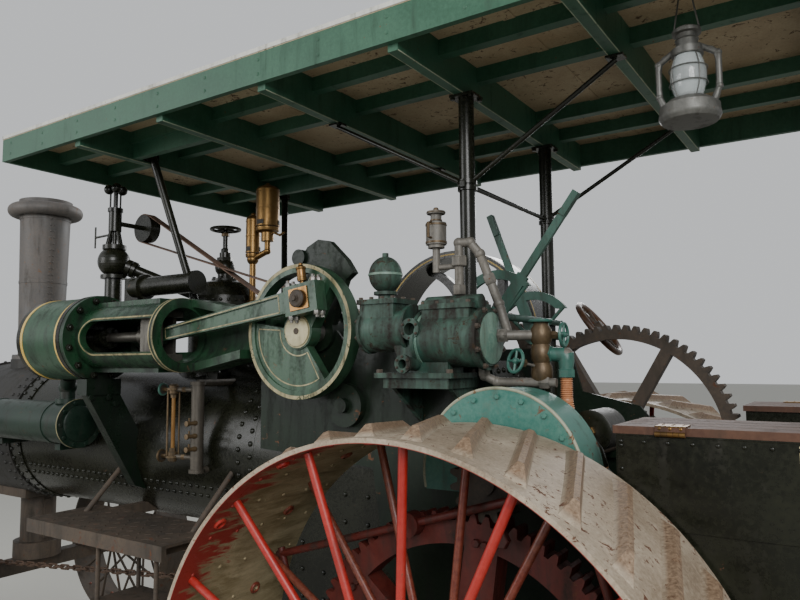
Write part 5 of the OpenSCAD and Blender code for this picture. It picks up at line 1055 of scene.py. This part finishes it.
# Canopy roof: pale outer edge and strips over the joints of the boards
# Thin stained boards on the joists. A pale strip closes their outer edge, and narrow strips
# cover their joints from below.
ply = coat("ply", (0.27, 0.2, 0.115), (0.42, 0.345, 0.225), grime_and_shade=(0.09, 0.065, 0.035),
           rust=(0.13, 0.08, 0.045), gloss=0.7, dirt=0.2, chips=0.9, grain=1.5)
pale_edge = coat("roof_pale_edge", (0.42, 0.42, 0.38), (0.60, 0.59, 0.54), grime_and_shade=(0.16, 0.16, 0.13),
                 rust=(0.22, 0.14, 0.08), gloss=0.7, dirt=0.5, chips=0.5)
dress(ply, "canopy_roof")
edge_low, edge_high, edge_half = 3.071, 3.0895, 0.0025
roof_edge, ply_strips = Shapes(), Shapes()
for y in (-0.9155, 0.9155):
    roof_edge.slab((-1.636, y - edge_half, edge_low), (2.660, y + edge_half, edge_high), from_axle, 0.0012)
for x in (-1.6345, 2.6585):
    roof_edge.slab((x - edge_half, -0.918, edge_low), (x + edge_half, 0.918, edge_high), from_axle, 0.0012)
roof_edge.piece("roof_edge", "frame", "roof_boards", pale_edge)
for x in (-1.29, -0.09, 1.116, 2.316):
    ply_strips.slab((x - 0.022, -0.885, 3.0645), (x + 0.022, 0.885, 3.0679), from_axle, 0.0008)
for y in (-0.445, 0.455):
    ply_strips.slab((-1.60, y - 0.020, 3.0648), (2.62, y + 0.020, 3.0678), from_axle, 0.0008)
ply_strips.piece("ply_joint_strips", "frame", "roof_boards", ply)

# Lantern: globe, wire guard, side tubes, cap and burner
# A lantern of dull tinned steel, pressed and soldered, with a blown glass globe inside a wire
# guard, and a brass burner. It hangs from the canopy by two wires.
galvanised = coat("galvanised", (0.06, 0.06, 0.055), (0.14, 0.138, 0.125), grime_and_shade=(0.04, 0.037, 0.03),
                  gloss=0.4, dirt=0.5, chips=0.5, metal=0.45)
glass = bpy.data.materials.new("lantern_glass")
glass.use_nodes = True
for socket, value in (("Base Color", (0.62, 0.68, 0.68, 1)), ("Roughness", 0.06), ("Alpha", 0.3),
                      ("Coat Weight", 0.6)):
    glass.node_tree.nodes["Principled BSDF"].inputs[socket].default_value = value
dress(galvanised, "lantern")
globe, tin, burner, guard_wire = Shapes(), Shapes(), Shapes(), Shapes()
lantern = Matrix.Translation(at(-0.650, 0.600, 2.600))
globe.turned([(0.0345, 0.068), (0.0440, 0.090), (0.0515, 0.118), (0.0515, 0.152), (0.0450, 0.178),
              (0.0370, 0.200), (0.0355, 0.200), (0.0430, 0.177), (0.0495, 0.151), (0.0495, 0.119),
              (0.0422, 0.091), (0.0330, 0.070)], lantern, 40)
# the fuel tank and the burner's seat, then the chimney and its cap
tin.turned([(0, -0.002), (0.078, -0.002), (0.084, 0.006), (0.0875, 0.014), (0.0865, 0.022), (0.0825, 0.024),
            (0.0845, 0.040), (0.078, 0.048), (0.060, 0.0625), (0.040, 0.0705), (0.036, 0.072), (0.034, 0.078),
            (0.028, 0.080), (0, 0.080)], lantern, 56)
tin.turned([(0, 0.197), (0.038, 0.197), (0.045, 0.200), (0.0455, 0.219), (0.036, 0.223), (0.0312, 0.224),
            (0.0312, 0.246), (0.034, 0.248), (0.0312, 0.251), (0.0305, 0.264), (0.041, 0.266),
            (0.0415, 0.276), (0.030, 0.284), (0.010, 0.290), (0, 0.290)], lantern, 48)
tin.turned([(0, 0), (0.0125, 0), (0.0125, 0.012), (0.010, 0.014), (0, 0.014)],
           facing(lantern @ Vector((0.052, -0.030, 0.060)), (0.45, -0.26, 0.85)), 20)
burner.turned([(0, 0.078), (0.0125, 0.078), (0.0165, 0.086), (0.0160, 0.092), (0.007, 0.100), (0.0035, 0.101),
               (0, 0.101)], lantern, 20)
for s in (-1, 1):
    tube = ((0.062, 0.046), (0.074, 0.058), (0.0815, 0.085), (0.0838, 0.120), (0.0838, 0.165), (0.080, 0.190),
            (0.066, 0.206), (0.044, 0.2135), (0.030, 0.214))
    tin.pipe([lantern @ Vector((s * x, 0, z)) for x, z in tube], 0.0085, 14)
guard_bow = ((0.036, 0.072), (0.0505, 0.100), (0.0550, 0.135), (0.0520, 0.165), (0.0400, 0.199))
for spot, out in circle(Vector(), "Z", 1, turns(4, 0.5)):
    guard_wire.pipe([lantern @ (out * r + up * z) for r, z in guard_bow], 0.0016, 8)
for z in (0.112, 0.158):
    guard_wire.wire_ring(lantern @ Matrix.Translation(up * z), 0.0535, 0.0016, 6, 40)
burner.piece("lantern_burner", "frame", "brass", brass)
tin.piece("lantern_tin", "frame", "galvanised_steel", galvanised)
guard_wire.piece("lantern_wire", "frame", "galvanised_steel", galvanised)
globe.piece("lantern_globe", "frame", "galvanised_steel", glass)

# Bunkers and lids: upper plate, stripe, rivets, hinges and board seams
# Black painted plate, riveted along its edges, with a second plate over the upper third and a
# cream strip up it. Each lid is brown boards on two brass hinges, held by screws.
stripe_cream = coat("stripe_cream", (0.48, 0.40, 0.20), (0.60, 0.53, 0.30), grime_and_shade=(0.18, 0.14, 0.07),
                    gloss=0.5, dirt=0.35, chips=0.7)
lid_wood = coat("lid_wood", (0.05, 0.021, 0.012), (0.10, 0.05, 0.03), shine=0.3, gloss=0.6, dirt=0.4,
                chips=0.3)
dress(black_paint, "bunkers")
dress(lid_wood, "bunker_lid_left", "bunker_lid_right")
screw = [(0.0042, 0), (0.0042, 0.0006), (0.0030, 0.0014), (0, 0.0016)]
rear_x = -1.404
plate_z, plate_thick = 1.440, 0.0035
for side, s, front_x in (("left", 1, -0.440), ("right", -1, -0.625)):
    way, y, rivet_x = leftward * s, s * 0.735, front_x - 0.016
    stripe, box_rivets, leaves, screws, seams = Shapes(), Shapes(), Shapes(), Shapes(), Shapes()
    box_rivets.slab((rear_x - 0.001, y - s * 0.001, plate_z), (front_x - 0.004, y + s * plate_thick, 1.690),
                    from_axle, 0.001)
    stripe.slab((-0.905, y, 1.446), (-0.895, y + s * 0.0046, 1.684), from_axle, 0.0005)
    spots = [(x, 0.83 + k * 0.064) for k in range(14) for x in (rivet_x, rear_x)]
    spots += [(rear_x + k * (rivet_x - rear_x) / 15, z) for k in range(16) for z in (0.818, 1.674)]
    for x, z in spots:
        box_rivets.rivet(at(x, y + (s * plate_thick if z > plate_z else 0), z), way, 0.0065)
    stripe.piece("bunker_stripe_" + side, "frame", "black_paint", stripe_cream)
    box_rivets.piece("bunker_rivets_" + side, "frame", "black_paint", black_paint)
    for x in (front_x - 0.150, -1.270):
        for k in range(5):
            knuckle = at(x - 0.040 + 0.016 * k, s * 0.744, 1.698)
            leaves.plug(facing(knuckle, ahead), 0.0072, 0.0006, 0.0154, 16)
        leaves.slab((x - 0.0402, s * 0.674, 1.7165), (x + 0.0402, s * 0.7432, 1.7206), from_axle, 0.0008)
        for dx in (-0.028, 0, 0.028):
            for screw_y, z, face in ((0.690, 1.7205, up), (0.712, 1.7205, up), (0.743, 1.713, way)):
                screws.turned(screw, facing(at(x + dx, s * screw_y, z), face), 10)
    for k in (1, 2, 3):
        seam_y = 0.390 + k * 0.0865
        seams.slab((-1.4281, s * seam_y, 1.7160), (front_x + 0.0081, s * (seam_y + 0.0030), 1.7168),
                   from_axle)
    leaves.piece("lid_hinges_" + side, "bunker_lid_" + side, "brass", brass)
    screws.piece("lid_screws_" + side, "bunker_lid_" + side, "brass", brass)
    seams.piece("lid_seams_" + side, "bunker_lid_" + side, "lid_boards", soot_black)

# Floor and light
# A plain pale floor under a pale sky, with a broad soft light from the camera's side and weaker
# ones from the front and from the far side.
floor_finish = bpy.data.materials.new("floor")
floor_finish.use_nodes = True
floor_shader = floor_finish.node_tree.nodes["Principled BSDF"]
floor_shader.inputs["Base Color"].default_value = (0.38, 0.375, 0.34, 1)
floor_shader.inputs["Roughness"].default_value = 0.9
floor_half = 60
floor_mesh = bpy.data.meshes.new("floor")
floor_mesh.from_pydata([(-floor_half, -floor_half, 0), (floor_half, -floor_half, 0),
                        (floor_half, floor_half, 0), (-floor_half, floor_half, 0)], [], [(0, 1, 2, 3)])
floor_mesh.materials.append(floor_finish)
floor = bpy.data.objects.new("floor", floor_mesh)
bpy.context.scene.collection.objects.link(floor)
sky = bpy.data.worlds.new("sky")
sky.use_nodes = True
sky.node_tree.nodes["Background"].inputs["Color"].default_value = (0.86, 0.88, 0.9, 1)
sky.node_tree.nodes["Background"].inputs["Strength"].default_value = 0.75
bpy.context.scene.world = sky
# columns of a light: name, place, the point it faces, width, power
for name, place, aim, width, power in (
        ("key_light", (-5.5, 6.5, 5.0), (0.2, 0.0, 1.6), 4.0, 620),
        ("fill_light", (4.5, 6.5, 3.5), (1.0, 0.0, 1.5), 4.0, 260),
        ("far_light", (1.0, -7.0, 5.0), (0.0, 0.0, 1.5), 4.0, 300)):
    lamp = bpy.data.lights.new(name, "AREA")
    lamp.size = width
    lamp.energy = power
    light = bpy.data.objects.new(name, lamp)
    light.location = place
    light.rotation_euler = (Vector(aim) - Vector(place)).to_track_quat("-Z", "Y").to_euler()
    bpy.context.scene.collection.objects.link(light)

# Camera
# It stands at the left rear corner, at head height, and looks forward and to the right. Its
# place and turn are those from which the rear wheel's rim reads as a circle of its real size.
camera_place = Vector((-2.4117, 2.7551, 1.8981))
camera_yaw = math.radians(33.604)
camera_pitch = math.radians(5.079)
camera_roll = math.radians(-0.370)
level = Vector((math.sin(camera_yaw), -math.cos(camera_yaw), 0))
sideways = Vector((-math.cos(camera_yaw), -math.sin(camera_yaw), 0))
look = level * math.cos(camera_pitch) + up * math.sin(camera_pitch)
lift = up * math.cos(camera_pitch) - level * math.sin(camera_pitch)
right = sideways * math.cos(camera_roll) + lift * math.sin(camera_roll)
top = lift * math.cos(camera_roll) - sideways * math.sin(camera_roll)
camera = bpy.data.objects.new("camera", bpy.data.cameras.new("camera"))
bpy.context.scene.collection.objects.link(camera)
camera.matrix_world = Matrix((
    (right.x, top.x, -look.x, camera_place.x),
    (right.y, top.y, -look.y, camera_place.y),
    (right.z, top.z, -look.z, camera_place.z),
    (0, 0, 0, 1)))
camera.data.sensor_width = 36
camera.data.lens = 31.62
camera.data.clip_start = 0.05
camera.data.clip_end = 200
bpy.context.scene.camera = camera
